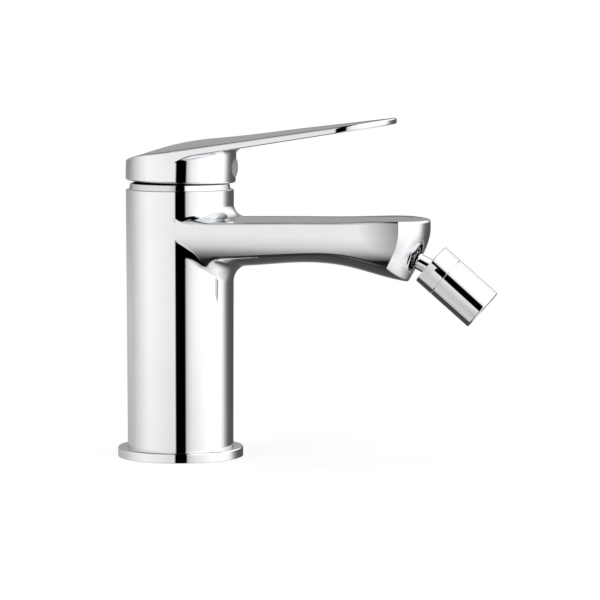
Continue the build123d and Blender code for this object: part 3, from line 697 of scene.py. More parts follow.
    def skin(self, p: np.ndarray) -> np.ndarray:
        """Signed distance, nearly, to the skin of body and spout with their soft blends."""
        x, y, z = p[:, 0], p[:, 1], p[:, 2]
        wall = np.hypot(x, y) - self.wall_radius(z)
        half, corner_x, corner_y, nose = self.plan(z)
        run = np.hypot(corner_x, half - corner_y)
        flank = ((np.abs(y) - half) * corner_x + x * (half - corner_y)) / run
        nose_radius = ((nose - corner_x) ** 2 + corner_y ** 2) / (2 * (nose - corner_x))
        front = np.hypot(np.maximum(x - (nose - nose_radius), 0), y) - nose_radius
        near = np.maximum(self.corner_softness - np.abs(flank - front), 0) / self.corner_softness
        side = np.maximum(flank, front) + near ** 2 * self.corner_softness / 4
        side = np.maximum(side, -x)
        stands_out = self.wall_radius(z) - half
        side_blend = np.clip(stands_out - self.side_setback, self.least_blend, self.side_blend)
        side = self.joined(side, wall, side_blend)
        top = self.joined(z - self.top(x, y), wall, self.top_blend_at(np.clip(x, 0, self.top_blend_end)))
        under_blend = self.under_blend_start + self.under_blend_growth * self.ledge(x)
        under = self.joined((self.under(x, y) - z) * self.under_scale, wall,
                            np.minimum(under_blend, self.under_blend))
        room = np.maximum(wall, 0)
        chine = np.clip(self.chine_growth * room, self.least_round, self.chine_round)
        rim = np.clip(self.rim_growth * room, self.least_round, self.rim_round)
        return self.crossed(top, self.crossed(side, under, chine), rim)

    def ledge(self, x: np.ndarray) -> np.ndarray:
        """How far the spout's side stands out from the body's wall at a distance from the axis."""
        narrowing = (self.corner_half_width - self.shoulder_radius) * x / self.corner_reach
        side = self.shoulder_radius + narrowing
        return np.hypot(x, side) - self.shoulder_radius

    def ring(self, share: float, bow: float) -> np.ndarray:
        """One loop round the spout.

        Args:
            share: place along the plan, as in outline_point.
            bow: how much of the body's curve the loop follows.

        Returns:
            The loop's points before they settle on the skin.
        """
        x_top, half_top = (float(v) for v in self.outline_point(share, np.array(self.tip_height)))
        z_top = float(self.top(np.array(x_top), np.array(half_top)))
        z_low = self.root_underside + self.guess_above
        for _ in range(self.guess_turns):
            x_low, half_low = (float(v) for v in self.outline_point(share, np.array(z_low)))
            z_low += 0.5 * (float(self.under(np.array(x_low), np.array(half_low))) - z_low)
        outer = self.shoulder_radius + self.patch_margin

        def sag(y: np.ndarray, edge: float) -> np.ndarray:
            """How far the loop's middle stands out before its edge."""
            return bow * (np.sqrt(outer ** 2 - y ** 2) - math.sqrt(outer ** 2 - edge ** 2))

        across = half_top * self.across_shares[::-1]
        upper = np.stack([x_top + sag(across, half_top), across, self.top(x_top + 0 * across, across)], 1)
        fall = z_top + (z_low - z_top) * self.fall_shares
        x_side, y_side = self.outline_point(share, fall)
        right = np.stack([x_side, -y_side, fall], 1)
        across = half_low * self.across_shares
        lower = np.stack([x_low + sag(across, half_low), across, self.under(x_low + 0 * across, across)], 1)
        left = np.stack([x_side, y_side, fall], 1)[::-1]
        return np.concatenate([upper, right[1:], lower[1:], left[1:-1]])

    def base_ring(self) -> tuple[np.ndarray, np.ndarray]:
        """The loop on the body's wall from which the spout grows, and the middle of each way out."""
        head = self.root_height + self.patch_margin
        foot = self.root_underside - self.patch_margin
        share = self.across_shares[::-1]
        even, crowded, inside = 0.6, 0.8 / math.pi, 0.985
        angles = np.radians(self.patch_half_angle) * (even * share + crowded * np.arcsin(share))
        fall = head + (foot - head) * self.fall_shares

        def on_wall(angle: np.ndarray, z: np.ndarray) -> np.ndarray:
            """Points of the wall at angles and heights."""
            angle, z = np.broadcast_arrays(angle, z)
            radius = self.wall_radius(z)
            return np.stack([radius * np.cos(angle), radius * np.sin(angle), z], 1)

        base = np.concatenate([on_wall(angles, np.array(head)), on_wall(angles[-1], fall)[1:],
                               on_wall(angles[::-1], np.array(foot))[1:],
                               on_wall(angles[0], fall)[::-1][1:-1]])
        near = np.arcsin(share * inside)
        upper = on_wall(near, np.array(self.root_height))
        lower = on_wall(near[::-1], np.array(self.root_underside))
        upper[:, 2] = self.top(upper[:, 0], upper[:, 1])
        lower[:, 2] = self.under(lower[:, 0], lower[:, 1])
        fall = upper[-1, 2] + (lower[0, 2] - upper[-1, 2]) * self.fall_shares
        right = np.column_stack([np.linspace(upper[-1, 0], lower[0, 0], len(fall)),
                                 np.linspace(upper[-1, 1], lower[0, 1], len(fall)), fall])
        left = (right * np.array([1, -1, 1]))[::-1]
        return base, np.concatenate([upper, right[1:], lower[1:], left[1:-1]])

    def spout_grid(self, base: np.ndarray, middle: np.ndarray) -> np.ndarray:
        """Rows of points from the loop on the body out to the tip of the nose.

        Args:
            base: the loop on the body's wall.
            middle: the loop that steers the way out from it.

        Returns:
            The rows, settled on the skin, with the last one flat at the tip.
        """
        first_share = self.first_reach / self.corner_reach
        first = self.ring(first_share, 1.0)
        rings = []
        for step in range(1, self.growth_steps):
            t = step / self.growth_steps
            rings.append((1 - t) ** 2 * base + 2 * t * (1 - t) * middle + t ** 2 * first)
        side = list(np.linspace(first_share, 0.97, 30)) + [0.985, 0.993, 0.997, 0.999, 0.9997]
        nose = [1.0012, 1.006, 1.014, 1.03, 1.06] + [1.06 + 0.94 * i / 22 for i in range(1, 23)]
        for share in side + nose:
            bow = float(np.clip((self.bow_end - share) / (self.bow_end - first_share), 0, 1))
            rings.append(self.ring(share, bow))
        rows = np.stack([base] + [settled(self.skin, ring) for ring in rings])
        rows[-1, :, 1] = 0.0
        return rows

    def tube_grids(self, base: np.ndarray) -> tuple[np.ndarray, np.ndarray]:
        """The bored body with its shoulder, and the wall behind the spout.

        Args:
            base: the loop on the body's wall from which the spout grows.

        Returns:
            Closed rows all round the body, and open rows across its back.
        """
        front = len(self.across_shares)
        front_angles = np.arctan2(base[:front, 1], base[:front, 0])
        back = np.linspace(front_angles[-1], front_angles[0] - math.tau, self.back_columns)
        head, foot = base[0, 2], self.root_underside - self.patch_margin
        shoulder = self.shoulder_height
        profile = [(float(self.wall_radius(z)), z) for z in (head, self.upper_row)]
        profile += rounded_outline(((self.foot_radius, 0.0, 0.0),
                                    (self.shoulder_radius, shoulder, self.shoulder_round),
                                    (self.thread_radius, shoulder, 0.0)))[1:]
        profile += [(self.thread_radius, self.thread_floor), (self.bore_radius, self.thread_floor),
                    (self.bore_radius, self.bore_foot), (self.hose_space_radius, self.bore_foot),
                    (self.hose_space_radius, 0.0), (self.foot_radius, 0.0)]
        profile += [(float(self.wall_radius(z)), float(z))
                    for z in np.linspace(self.lowest_row, foot, self.low_rows)]

        def turned(outline: Sequence[tuple[float, float]], angles: np.ndarray) -> np.ndarray:
            """Rows of points of an outline at angles round the body's axis."""
            return np.array([[(r * math.cos(a), r * math.sin(a), z) for a in angles] for r, z in outline])

        heights = base[front - 1:front - 1 + len(self.fall_shares), 2]
        wall = turned([(float(self.wall_radius(z)), z) for z in heights], back)
        return turned(profile, np.concatenate([front_angles, back[1:-1]])), wall

    def build(self) -> bpy.types.Object:
        """Make the skin, the bored body under it and the flat seat of the nozzle joint."""
        base, middle = self.base_ring()
        tube, wall = self.tube_grids(base)
        grids = ((self.spout_grid(base, middle), True), (tube, True), (wall, False))
        piece = from_grids("body_and_spout", grids)
        self.cut_seat(piece)
        smooth_by_angle(piece, 38)
        seat = (Vector(self.seat_centre) * METRES_PER_MM, Vector(self.seat_normal))
        shade_from_skin(piece, self.skin, seat)
        return piece

    def cut_seat(self, piece: bpy.types.Object) -> None:
        """Cut the chin flat for the nozzle joint and break the edge of the cut."""
        make_active(piece)
        bpy.ops.object.mode_set(mode="EDIT")
        bpy.ops.mesh.select_all(action="SELECT")
        bpy.ops.mesh.bisect(plane_co=tuple(v * METRES_PER_MM for v in self.seat_centre),
                            plane_no=self.seat_normal, use_fill=True, clear_outer=True,
                            threshold=CUT_THRESHOLD)
        bpy.ops.object.mode_set(mode="OBJECT")
        normal, centre = Vector(self.seat_normal), Vector(self.seat_centre) * METRES_PER_MM
        mesh = piece.data
        near = [abs((v.co - centre).dot(normal)) < ON_CUT for v in mesh.vertices]
        for vertex in mesh.vertices:
            vertex.select = False
        for edge in mesh.edges:
            edge.select = all(near[i] for i in edge.vertices)
        for face in mesh.polygons:
            face.select = False
        bpy.ops.object.mode_set(mode="EDIT")
        bpy.ops.mesh.select_mode(type="EDGE")
        bpy.ops.mesh.bevel(offset=self.seat_round * METRES_PER_MM, segments=3, affect="EDGES",
                           clamp_overlap=True)
        bpy.ops.mesh.select_mode(type="VERT")
        bpy.ops.object.mode_set(mode="OBJECT")


# Lever

@dataclass
class Lever:
    """Flat paddle on a round hub, tilted into its closed position. Sizes in millimetres."""

    hub_radius: float = 23.7
    inner_radius: float = 22.2
    rim_height: float = 118.85
    rim_round: float = 0.8
    ceiling: float = 127.0
    end_centre: float = 69.4
    end_radius: float = 23.4
    edge_height: float = 132.42
    slope: float = 10.03
    edge_thickness: float = 3.6
    tip_thickness: float = 2.6
    crown: float = 2.75
    top_round: float = 0.7
    low_round: float = 0.5
    fillet: float = 1.8
    pivot_height: float = 107.5
    tilt: float = 1.55
    station_step: float = 24.0
    plug_height: float = 125.4
    field_scale: float = 0.985
    hub_blend: float = 0.02
    low_growth: float = 0.4
    low_fade: float = 1.2
    least_round: float = 0.01
    hub_top: float = 130.0
    back_steps: int = 30
    straight_steps: int = 40
    nose_steps: int = 30

    # The plug's radius and height from its middle out: shank, flange and low dome
    PLUG_OUTLINE: ClassVar[Outline] = (
        (0.0, -4.2, 0.0), (2.95, -4.2, 0.15), (2.95, -1.8, 0.0), (4.0, -1.8, 0.0), (4.0, 0.1, 0.0),
        (3.72, 0.42, 0.0), (3.05, 0.66, 0.0), (2.1, 0.83, 0.0), (1.05, 0.9, 0.0), (0.0, 0.92, 0.0),
    )

    def __post_init__(self) -> None:
        """Work out the smooth crown along the paddle."""
        stations = [(i - 1) * self.station_step for i in range(6)]
        self.crown_share = smooth_table(stations, (-0.45, 1.0, 0.8, 0.58, 0.3, 0.02))

    def edge(self, x: np.ndarray) -> np.ndarray:
        """Height of the upper side edge."""
        return self.edge_height + x * math.tan(math.radians(self.slope))

    def top(self, x: np.ndarray, y: np.ndarray) -> np.ndarray:
        """Height of the crowned top."""
        return self.edge(x) + self.crown * self.crown_share(x) * (1 - (y / self.hub_radius) ** 2)

    def under(self, x: np.ndarray) -> np.ndarray:
        """Height of the paddle's flat underside."""
        length = self.hub_radius + self.end_centre + 2 * self.end_radius
        share = (x + self.hub_radius) / length
        end = self.tip_thickness - (self.edge_thickness - self.tip_thickness) / 2
        return self.edge(x) - (self.edge_thickness + (end - self.edge_thickness) * share)

    def skin(self, p: np.ndarray) -> np.ndarray:
        """Signed distance, nearly, to the outer skin of hub and paddle, before the tilt."""
        x, y, z = p[:, 0], p[:, 1], p[:, 2]
        wall = np.hypot(x, y) - self.hub_radius
        narrowing = self.hub_radius - self.end_radius
        run = math.hypot(self.end_centre, narrowing)
        flank = ((np.abs(y) - self.hub_radius) * self.end_centre + x * narrowing) / run
        nose = np.hypot(x - self.end_centre, y) - self.end_radius
        side = np.maximum(np.where(x < self.end_centre, flank, nose), -x)
        side = BodyAndSpout.joined(side, wall, self.hub_blend)
        under = BodyAndSpout.joined((self.under(x) - z) * self.field_scale, wall, self.fillet)
        low = np.clip(self.low_growth * np.maximum(wall, 0), self.least_round, self.low_round)
        lower = BodyAndSpout.crossed(side, under, low)
        return BodyAndSpout.crossed((z - self.top(x, y)) * self.field_scale, lower, self.top_round)

    def half_plan(self) -> tuple[np.ndarray, np.ndarray]:
        """Half of the paddle's plan from the hub's back to the tip, and the way out at each point."""
        angle = np.linspace(math.pi, math.pi / 2, self.back_steps + 1)
        turn = np.stack([np.cos(angle), np.sin(angle)], 1)
        plan, outward = [self.hub_radius * turn], [turn]
        share = np.linspace(0, 1, self.straight_steps + 1)[1:, None] ** 1.4
        start = np.array([[0, self.hub_radius]])
        end = np.array([[self.end_centre, self.end_radius]])
        plan.append(start * (1 - share) + end * share)
        outward.append(np.tile([[0.0, 1.0]], (self.straight_steps, 1)))
        angle = np.linspace(math.pi / 2, 0, self.nose_steps + 1)[1:]
        turn = np.stack([np.cos(angle), np.sin(angle)], 1)
        plan.append(np.array([[self.end_centre, 0.0]]) + self.end_radius * turn)
        outward.append(turn)
        half = np.concatenate(plan)
        half[-1, 1], half[0, 1] = 0.0, 0.0
        return half, np.concatenate(outward)

    def build(self) -> bpy.types.Object:
        """Make the lever's hub, paddle and hollow as one closed skin."""
        half, outward = self.half_plan()
        flip = np.array([1.0, -1.0])
        loop = np.concatenate([half, (half * flip)[-2:0:-1]])
        out = np.concatenate([outward, (outward * flip)[-2:0:-1]])
        first, last = self.back_steps, self.back_steps + 2 * (self.straight_steps + self.nose_steps)
        x = loop[:, 0]
        reach = np.hypot(loop[:, 0], loop[:, 1])
        hub = loop / reach[:, None]
        gap = np.maximum(reach - self.hub_radius, 0)
        low = self.low_round * np.tanh(gap / self.low_fade)
        turn_at_edge = np.arcsin(np.clip((self.fillet - gap) / self.fillet, 0, 1))
        drop = self.fillet * (1 - np.cos(turn_at_edge))

        inset = half - outward * self.top_round
        across = np.concatenate([[1, 0.985, 0.955], np.linspace(0.91, -0.91, 23), [-0.955, -0.985, -1]])
        cap = np.array([[(px, py * u, float(self.top(np.array(px), np.array(py * u)))) for u in across]
                        for px, py in inset])

        rows = []
        for turn in np.linspace(0, math.pi / 2, 6):
            place = loop - out * self.top_round * (1 - math.sin(turn))
            height = self.top(place[:, 0], place[:, 1]) - self.top_round * (1 - math.cos(turn))
            rows.append(np.column_stack([place, height]))
        start, end = rows[-1][:, 2], self.under(x) - drop + low
        for share in (0.06, 0.35, 0.65, 0.94, 1.0):
            rows.append(np.column_stack([loop, start + (end - start) * share]))
        ring_rows = settled(self.skin, np.stack(rows))

        sheet = [np.column_stack([loop, end])]
        for turn in np.linspace(0, math.pi / 2, 5)[1:]:
            place = loop - out * (low * (1 - math.cos(turn)))[:, None]
            sheet.append(np.column_stack([place, self.under(x) - drop + low * (1 - math.sin(turn))]))
        flat = np.maximum(gap - self.fillet - low, 0)
        arc = self.fillet * (math.pi / 2 - turn_at_edge)
        for share in np.linspace(0, 1, 19)[1:] ** 0.8:
            along = (flat + arc) * share
            turn = np.clip(turn_at_edge + (along - flat) / self.fillet, turn_at_edge, math.pi / 2)
            distance = np.where(along < flat, reach - low - along,
                                self.hub_radius + self.fillet * (1 - np.sin(turn)))
            depth = np.where(along < flat, 0, self.fillet * (1 - np.cos(turn)))
            place = hub * distance[:, None]
            sheet.append(np.column_stack([place, self.under(place[:, 0]) - depth]))
        ring = hub * self.hub_radius
        foot = np.column_stack([ring, self.under(ring[:, 0]) - self.fillet])
        sheet[-1] = foot
        sheet_rows = settled(self.skin, np.stack(sheet)[:, first:last + 1])

        wall = settled(self.skin, foot)
        skirt = [wall]
        stop = self.rim_height + self.rim_round + 0.12
        for share in (0.08, 0.4, 0.75, 1.0):
            skirt.append(np.column_stack([ring, wall[:, 2] + (stop - wall[:, 2]) * share]))
        profile = rounded_outline(((self.hub_radius, self.hub_top, 0.0),
                                   (self.hub_radius, self.rim_height, self.rim_round),
                                   (self.inner_radius, self.rim_height, 0.2),
                                   (self.inner_radius, self.ceiling, 0.0), (0.0, self.ceiling, 0.0)))[1:]
        for radius, height in profile:
            skirt.append(np.column_stack([hub * radius, np.full(len(loop), height)]))
        grids = ((settled(self.skin, cap), False), (ring_rows, True), (sheet_rows, False),
                 (np.stack(skirt), True))
        piece = from_grids("lever_handle_skin", grids)
        smooth_by_angle(piece, 42)
        shade_from_skin(piece, self.skin)
        piece.data.transform(self.tilted())
        return piece

    def tilted(self) -> Matrix:
        """Turn about the lever's pivot into the closed position."""
        pivot = Matrix.Translation((0, 0, self.pivot_height * METRES_PER_MM))
        return pivot @ Matrix.Rotation(math.radians(self.tilt), 4, "Y") @ pivot.inverted()

    def plug(self) -> bpy.types.Object:
        """Domed plug in the hub's front, over the set screw."""
        place = axis_at((self.hub_radius, 0.0, self.plug_height), (1, 0, 0))
        return spun("index_plug_lens", self.PLUG_OUTLINE, self.tilted() @ place, 96)


# Turned pieces

@dataclass
class FootAndRing:
    """The foot flange on the deck and the domed ring between body and lever. Sizes in millimetres."""

    foot_radius: float = 22.85
    flange_radius: float = 27.1
    flange_height: float = 4.2
    flange_round: float = 0.8
    shoulder_height: float = 115.4
    ring_radius: float = 21.8
    ring_top_radius: float = 21.35
    ring_wall: float = 2.6
    dome_rise: float = 1.7
    dome_thickness: float = 1.3
    opening_radius: float = 16.0
    fit_gap: float = 0.1
    inner_lip: float = 1.0
    gasket_margin: float = 1.1
    gasket_thickness: float = 1.6
    spigot_radius: float = 19.05
    spigot_inner_radius: float = 17.85
    spigot_depth: float = 2.2
    ceiling_drop: float = 1.0

    def flange(self) -> bpy.types.Object:
        """Foot ring with a rounded upper edge and the groove of its gasket."""
        inner = self.foot_radius + self.fit_gap
        groove = inner + self.inner_lip
        rim = self.flange_radius - self.gasket_margin
        corners = ((inner, 0.0, 0.0), (groove, 0.0, 0.0), (groove, self.gasket_thickness, 0.0),
                   (rim, self.gasket_thickness, 0.0), (rim, 0.0, 0.0),
                   (self.flange_radius, 0.0, 0.15),
                   (self.flange_radius, self.flange_height, self.flange_round),
                   (inner, self.flange_height, 0.15))
        return spun("foot_flange_ring", corners, Matrix.Identity(4), 192)

    def cover(self) -> bpy.types.Object:
        """Domed ring, with the spigot that centres it in the bore."""
        edge = self.shoulder_height + self.ring_wall
        crown = edge + self.dome_rise
        corners = ((self.ring_radius, self.shoulder_height, 0.1), (self.ring_top_radius, edge, 0.5),
                   (self.opening_radius, crown, 0.3),
                   (self.opening_radius, crown - self.dome_thickness, 0.0),
                   (self.spigot_inner_radius, edge - self.ceiling_drop, 0.0),
                   (self.spigot_inner_radius, self.shoulder_height - self.spigot_depth, 0.0),
                   (self.spigot_radius, self.shoulder_height - self.spigot_depth, 0.0),
                   (self.spigot_radius, self.shoulder_height, 0.0))
        return spun("cover_ring_dome", corners, Matrix.Identity(4), 192)


@dataclass
class NozzleJoint:
    """Ball neck, housing and sleeve of the swivelling nozzle. Sizes in millimetres along its axis."""

    centre: tuple[float, float, float] = (113.659, 0.0, 80.2137)
    seat_slope: float = 27.7
    nozzle_slope: float = 41.1
    neck_radius: float = 3.52
    ball_radius: float = 5.8
    bore_radius: float = 2.3
    nozzle_radius: float = 9.5
    nozzle_back: float = 6.5
    nozzle_joint: float = 1.9
    joint_gap: float = 0.25
    nozzle_front: float = 23.2
    cavity_radius: float = 7.0
    sphere_radius: float = 7.2
    mouth_angle: float = 53.0
    mouth_radius: float = 6.61
    spigot_radius: float = 8.3
    sleeve_inner: float = 8.5
    housing_end: float = 9.3
    flat_depth: float = 1.0
    flat_length: float = 3.5
    flat_turn: float = 16.4
    flat_overrun: float = 2.0
    tail_start: float = -19.4
    tail_radius: float = 3.95
    tail_end: float = -12.0
    tail_chamfer: float = 0.02
    ball_mouth_radius: float = 2.95
    ball_mouth_end: float = 3.8
    seat_opening: float = 5.6
    seat_depth: float = 1.6
    lip_radius: float = 7.5
    lip_back: float = 22.0

    def neck_axis(self) -> Matrix:
        """The neck's own axis, square to the spout's seat."""
        slope = math.radians(self.seat_slope)
        return axis_at(self.centre, (math.cos(slope), 0, -math.sin(slope)))

    def nozzle_axis(self) -> Matrix:
        """The nozzle's own axis at rest."""
        slope = math.radians(self.nozzle_slope)
        return axis_at(self.centre, (math.cos(slope), 0, -math.sin(slope)))

    def neck(self) -> bpy.types.Object:
        """Neck with its ball, hollow for the water."""
        start = -math.sqrt(self.ball_radius ** 2 - self.neck_radius ** 2)
        corners = [(self.bore_radius, self.tail_start, 0.0), (self.tail_radius, self.tail_start, 0.3),
                   (self.tail_radius, self.tail_end - self.tail_chamfer, 0.0),
                   (self.neck_radius, self.tail_end, 0.0), (self.neck_radius, start, 0.6)]
        turn = math.asin(self.neck_radius / self.ball_radius)
        stop = math.pi - math.asin(self.ball_mouth_radius / self.ball_radius)
        for angle in np.linspace(turn, stop, 26)[2:]:
            corners.append((self.ball_radius * math.sin(angle), -self.ball_radius * math.cos(angle), 0.0))
        corners.append((self.bore_radius, self.ball_mouth_end, 0.0))
        return spun("neck_and_ball", corners, self.neck_axis(), 96)

    def housing(self) -> bpy.types.Object:
        """Rear shell of the nozzle with its flared mouth and two spanner flats."""
        seat = self.housing_end - self.seat_depth
        corners = [(self.mouth_radius, -self.nozzle_back, 0.25),
                   (self.nozzle_radius, -self.nozzle_back, 0.4),
                   (self.nozzle_radius, self.nozzle_joint, 0.12),
                   (self.spigot_radius, self.nozzle_joint, 0.0), (self.spigot_radius, self.housing_end, 0.0),
                   (self.seat_opening, self.housing_end, 0.0), (self.seat_opening, seat, 0.0),
                   (self.cavity_radius, seat, 0.0)]
        first = math.pi - math.asin(self.cavity_radius / self.sphere_radius)
        for angle in np.linspace(first, math.radians(self.mouth_angle), 12):
            across, along = math.sin(angle), -math.cos(angle)
            corners.append((self.sphere_radius * across, self.sphere_radius * along, 0.0))
        piece = spun("ball_housing_shell", corners, Matrix.Identity(4), 144)
        for side in (1, -1):
            self.cut_flat(piece, side)
        piece.data.transform(self.nozzle_axis())
        smooth_by_angle(piece, 32)
        return piece

    def cut_flat(self, piece: bpy.types.Object, side: int) -> None:
        """Cut one spanner flat with a block.

        Args:
            piece: the turned shell, still upright at the origin.
            side: one for the first flat, minus one for the flat across from it.
        """
        turn = Matrix.Rotation(math.radians(180 + self.flat_turn + (0 if side > 0 else 180)), 4, "Z")
        deselect_all()
        bpy.ops.mesh.primitive_cube_add(size=1.0, location=(0, 0, 0))
        block = bpy.context.object
        width, overrun = self.nozzle_radius, self.flat_overrun
        size = [side_mm * METRES_PER_MM for side_mm in (width, 2 * width, self.flat_length + overrun)]
        block.data.transform(Matrix.Diagonal((*size, 1)))
        height = -self.nozzle_back + (self.flat_length - overrun) / 2
        place = Vector((width * 1.5 - self.flat_depth, 0, height))
        block.data.transform(turn @ Matrix.Translation(place * METRES_PER_MM))
        make_active(piece)
        cut = piece.modifiers.new("spanner_flat", "BOOLEAN")
        cut.operation, cut.solver, cut.object = "DIFFERENCE", "EXACT", block
        bpy.ops.object.modifier_apply(modifier=cut.name)
        bpy.data.objects.remove(block)

    def sleeve(self) -> bpy.types.Object:
        """Front sleeve of the nozzle, with the lip that keeps the insert in."""
        low = self.nozzle_joint + self.joint_gap
        corners = ((self.sleeve_inner, low, 0.0), (self.nozzle_radius, low, 0.12),
                   (self.nozzle_radius, self.nozzle_front, 0.6), (self.lip_radius, self.nozzle_front, 0.2),
                   (self.lip_radius, self.lip_back, 0.0), (self.sleeve_inner, self.lip_back, 0.0))
        return spun("nozzle_sleeve_shell", corners, self.nozzle_axis(), 144)


# Studio

@dataclass
class Studio:
    """Pale floor and backdrop, a light tent that only polished metal sees, lamps and the camera."""

    azimuth: float = 9.5
    elevation: float = 5.0
    distance: float = 1.392
    lens: float = 194.64
    sensor_width: float = 36.0
    target: tuple[float, float, float] = (0.0523, 0.0006, 0.0681)
    tent_radius: float = 2.2
    tent_front: float = 0.9
    tent_height: float = 0.05
    tent_light: float = 1.1
    floor_radius: float = 20.0
    floor_drop: float = 0.00015
    shadow_start: float = 0.12
    shadow_end: float = 0.6
    floor_glow: float = 0.76
    soft_light: float = 0.55
    lamp_target: tuple[float, float, float] = (0.04, 0.0, 0.06)

    # The tent's panels: height in degrees, then turn from the camera in degrees and brightness
    PANELS: ClassVar[tuple[tuple[float, Sequence[tuple[float, float]]], ...]] = (
        (-80, ((-180, 0.03), (8, 0.03), (36, 0.6), (110, 0.6), (140, 0.1), (180, 0.03))),
        (-50, ((-180, 0.06), (-126, 0.05), (-117, 0.01), (-108, 0.45), (-80, 0.62), (-55, 0.5), (-38, 0.2),
               (-26, 0.02), (-16, 0.005), (12, 0.005), (24, 0.6), (40, 0.9), (100, 0.9), (130, 0.3),
               (150, 0.08), (180, 0.06))),
        (-35, ((-180, 0.06), (-140, 0.05), (-118, 0.06), (-106, 0.5), (-80, 0.68), (-50, 0.62), (-32, 0.42),
               (-20, 0.26), (-9.5, 0.26), (-7.5, 0.0), (12.5, 0.0), (14.5, 0.3), (40, 0.4), (60, 0.7),
               (85, 0.95), (120, 0.4), (140, 0.1), (180, 0.06))),
        (-21, ((-180, 0.1), (-150, 0.12), (-128, 0.35), (-105, 0.6), (-70, 0.72), (-35, 0.68), (-18, 0.58),
               (-9.5, 0.6), (-7.5, 0.0), (12.5, 0.0), (14.5, 0.5), (36, 0.58), (60, 0.86), (85, 1.0),
               (115, 0.5), (130, 0.13), (150, 0.08), (180, 0.1))),
        (-5, ((-180, 0.5), (-118, 0.53), (-103, 0.66), (-88, 0.8), (-70, 0.93), (-43, 0.87), (-21, 0.82),
              (-12, 0.8), (-9.4, 0.84), (-7.5, 0.0), (12.5, 0.0), (14.5, 0.52), (22, 0.78), (31, 0.92),
              (45, 1.0), (70, 1.1), (100, 1.03), (108, 0.76), (114, 0.42), (121, 0.2), (130, 0.1),
              (160, 0.07), (173, 0.2), (180, 0.5))),
        (1.5, ((-180, 0.1), (-135, 0.2), (-110, 0.56), (-88, 0.8), (-70, 0.93), (-21, 0.84), (-12, 0.8),
               (-9.4, 0.82), (-7.5, 0.0), (12.5, 0.0), (14.5, 0.55), (24, 0.86), (45, 1.04), (102, 1.06),
               (110, 0.76), (118, 0.35), (130, 0.12), (165, 0.08), (180, 0.1))),
        (5, ((-180, 0.34), (-140, 0.34), (-110, 0.6), (-85, 0.8), (-40, 0.85), (-12, 0.76), (-9.4, 0.7),
             (-7.5, 0.0), (12.5, 0.0), (14.5, 0.6), (24, 0.9), (45, 1.08), (104, 1.08), (122, 0.8),
             (140, 0.5), (158, 0.2), (172, 0.3), (180, 0.34))),
        (20, ((-180, 0.34), (-130, 0.4), (-90, 0.6), (-60, 0.7), (-25, 0.7), (-9.5, 0.5), (-7.5, 0.0),
              (12.5, 0.0), (14.5, 0.9), (28, 1.1), (150, 1.1), (160, 0.7), (168, 0.25), (180, 0.34))),
        (48, ((-180, 0.2), (-120, 0.16), (-60, 0.3), (-22, 0.5), (-12.5, 0.6), (-10.5, 0.0), (18.5, 0.0),
              (21, 1.0), (30, 1.1), (118, 1.1), (150, 0.4), (180, 0.2))),
        (68, ((-180, 0.14), (-60, 0.2), (-24, 0.3), (-20, 0.0), (35, 0.0), (41, 1.0), (110, 1.0),
              (150, 0.3), (180, 0.14))),
        (78, ((-180, 0.14), (-80, 0.14), (-40, 0.0), (82, 0.0), (98, 0.9), (120, 0.9), (150, 0.3),
              (180, 0.14))),
        (86, ((-180, 0.1), (-150, 0.02), (150, 0.02), (180, 0.1))),
    )

    def camera(self) -> None:
        """Camera at the photograph's viewing angle."""
        data = bpy.data.cameras.new("camera")
        data.lens, data.sensor_width = self.lens, self.sensor_width
        data.clip_start, data.clip_end = 0.05, 50.0
        camera = bpy.data.objects.new("camera", data)
        bpy.context.scene.collection.objects.link(camera)
        a, e = math.radians(self.azimuth), math.radians(self.elevation)
        back = Vector((math.sin(a) * math.cos(e), -math.cos(a) * math.cos(e), math.sin(e)))
        camera.location = Vector(self.target) + back * self.distance
        camera.rotation_mode = "QUATERNION"
        camera.rotation_quaternion = (-back).to_track_quat("-Z", "Y")
        bpy.context.scene.camera = camera

    def world(self) -> None:
        """White for what the camera and polished metal see, softer for the light itself."""
        world = bpy.data.worlds.new("studio_world")
        bpy.context.scene.world = world
        world.use_nodes = True
        tree = world.node_tree
        tree.nodes.clear()
        path = add_node(tree, "ShaderNodeLightPath")
        seen = add_node(tree, "ShaderNodeMath", {"operation": "MAXIMUM"},
                        {0: path.outputs["Is Camera Ray"], 1: path.outputs["Is Glossy Ray"]})
        through = add_node(tree, "ShaderNodeMath", {"operation": "MAXIMUM"},
                           {0: seen.outputs["Value"], 1: path.outputs["Is Transmission Ray"]})
        soft = add_node(tree, "ShaderNodeBackground",
                        {"Color": linear("ffffff"), "Strength": self.soft_light})
        white = add_node(tree, "ShaderNodeBackground", {"Color": linear("ffffff"), "Strength": 1.0})
        mixed = add_node(tree, "ShaderNodeMixShader", links={0: through.outputs["Value"],
                                                             1: soft.outputs["Background"],
                                                             2: white.outputs["Background"]})
        add_node(tree, "ShaderNodeOutputWorld", links={"Surface": mixed.outputs["Shader"]})

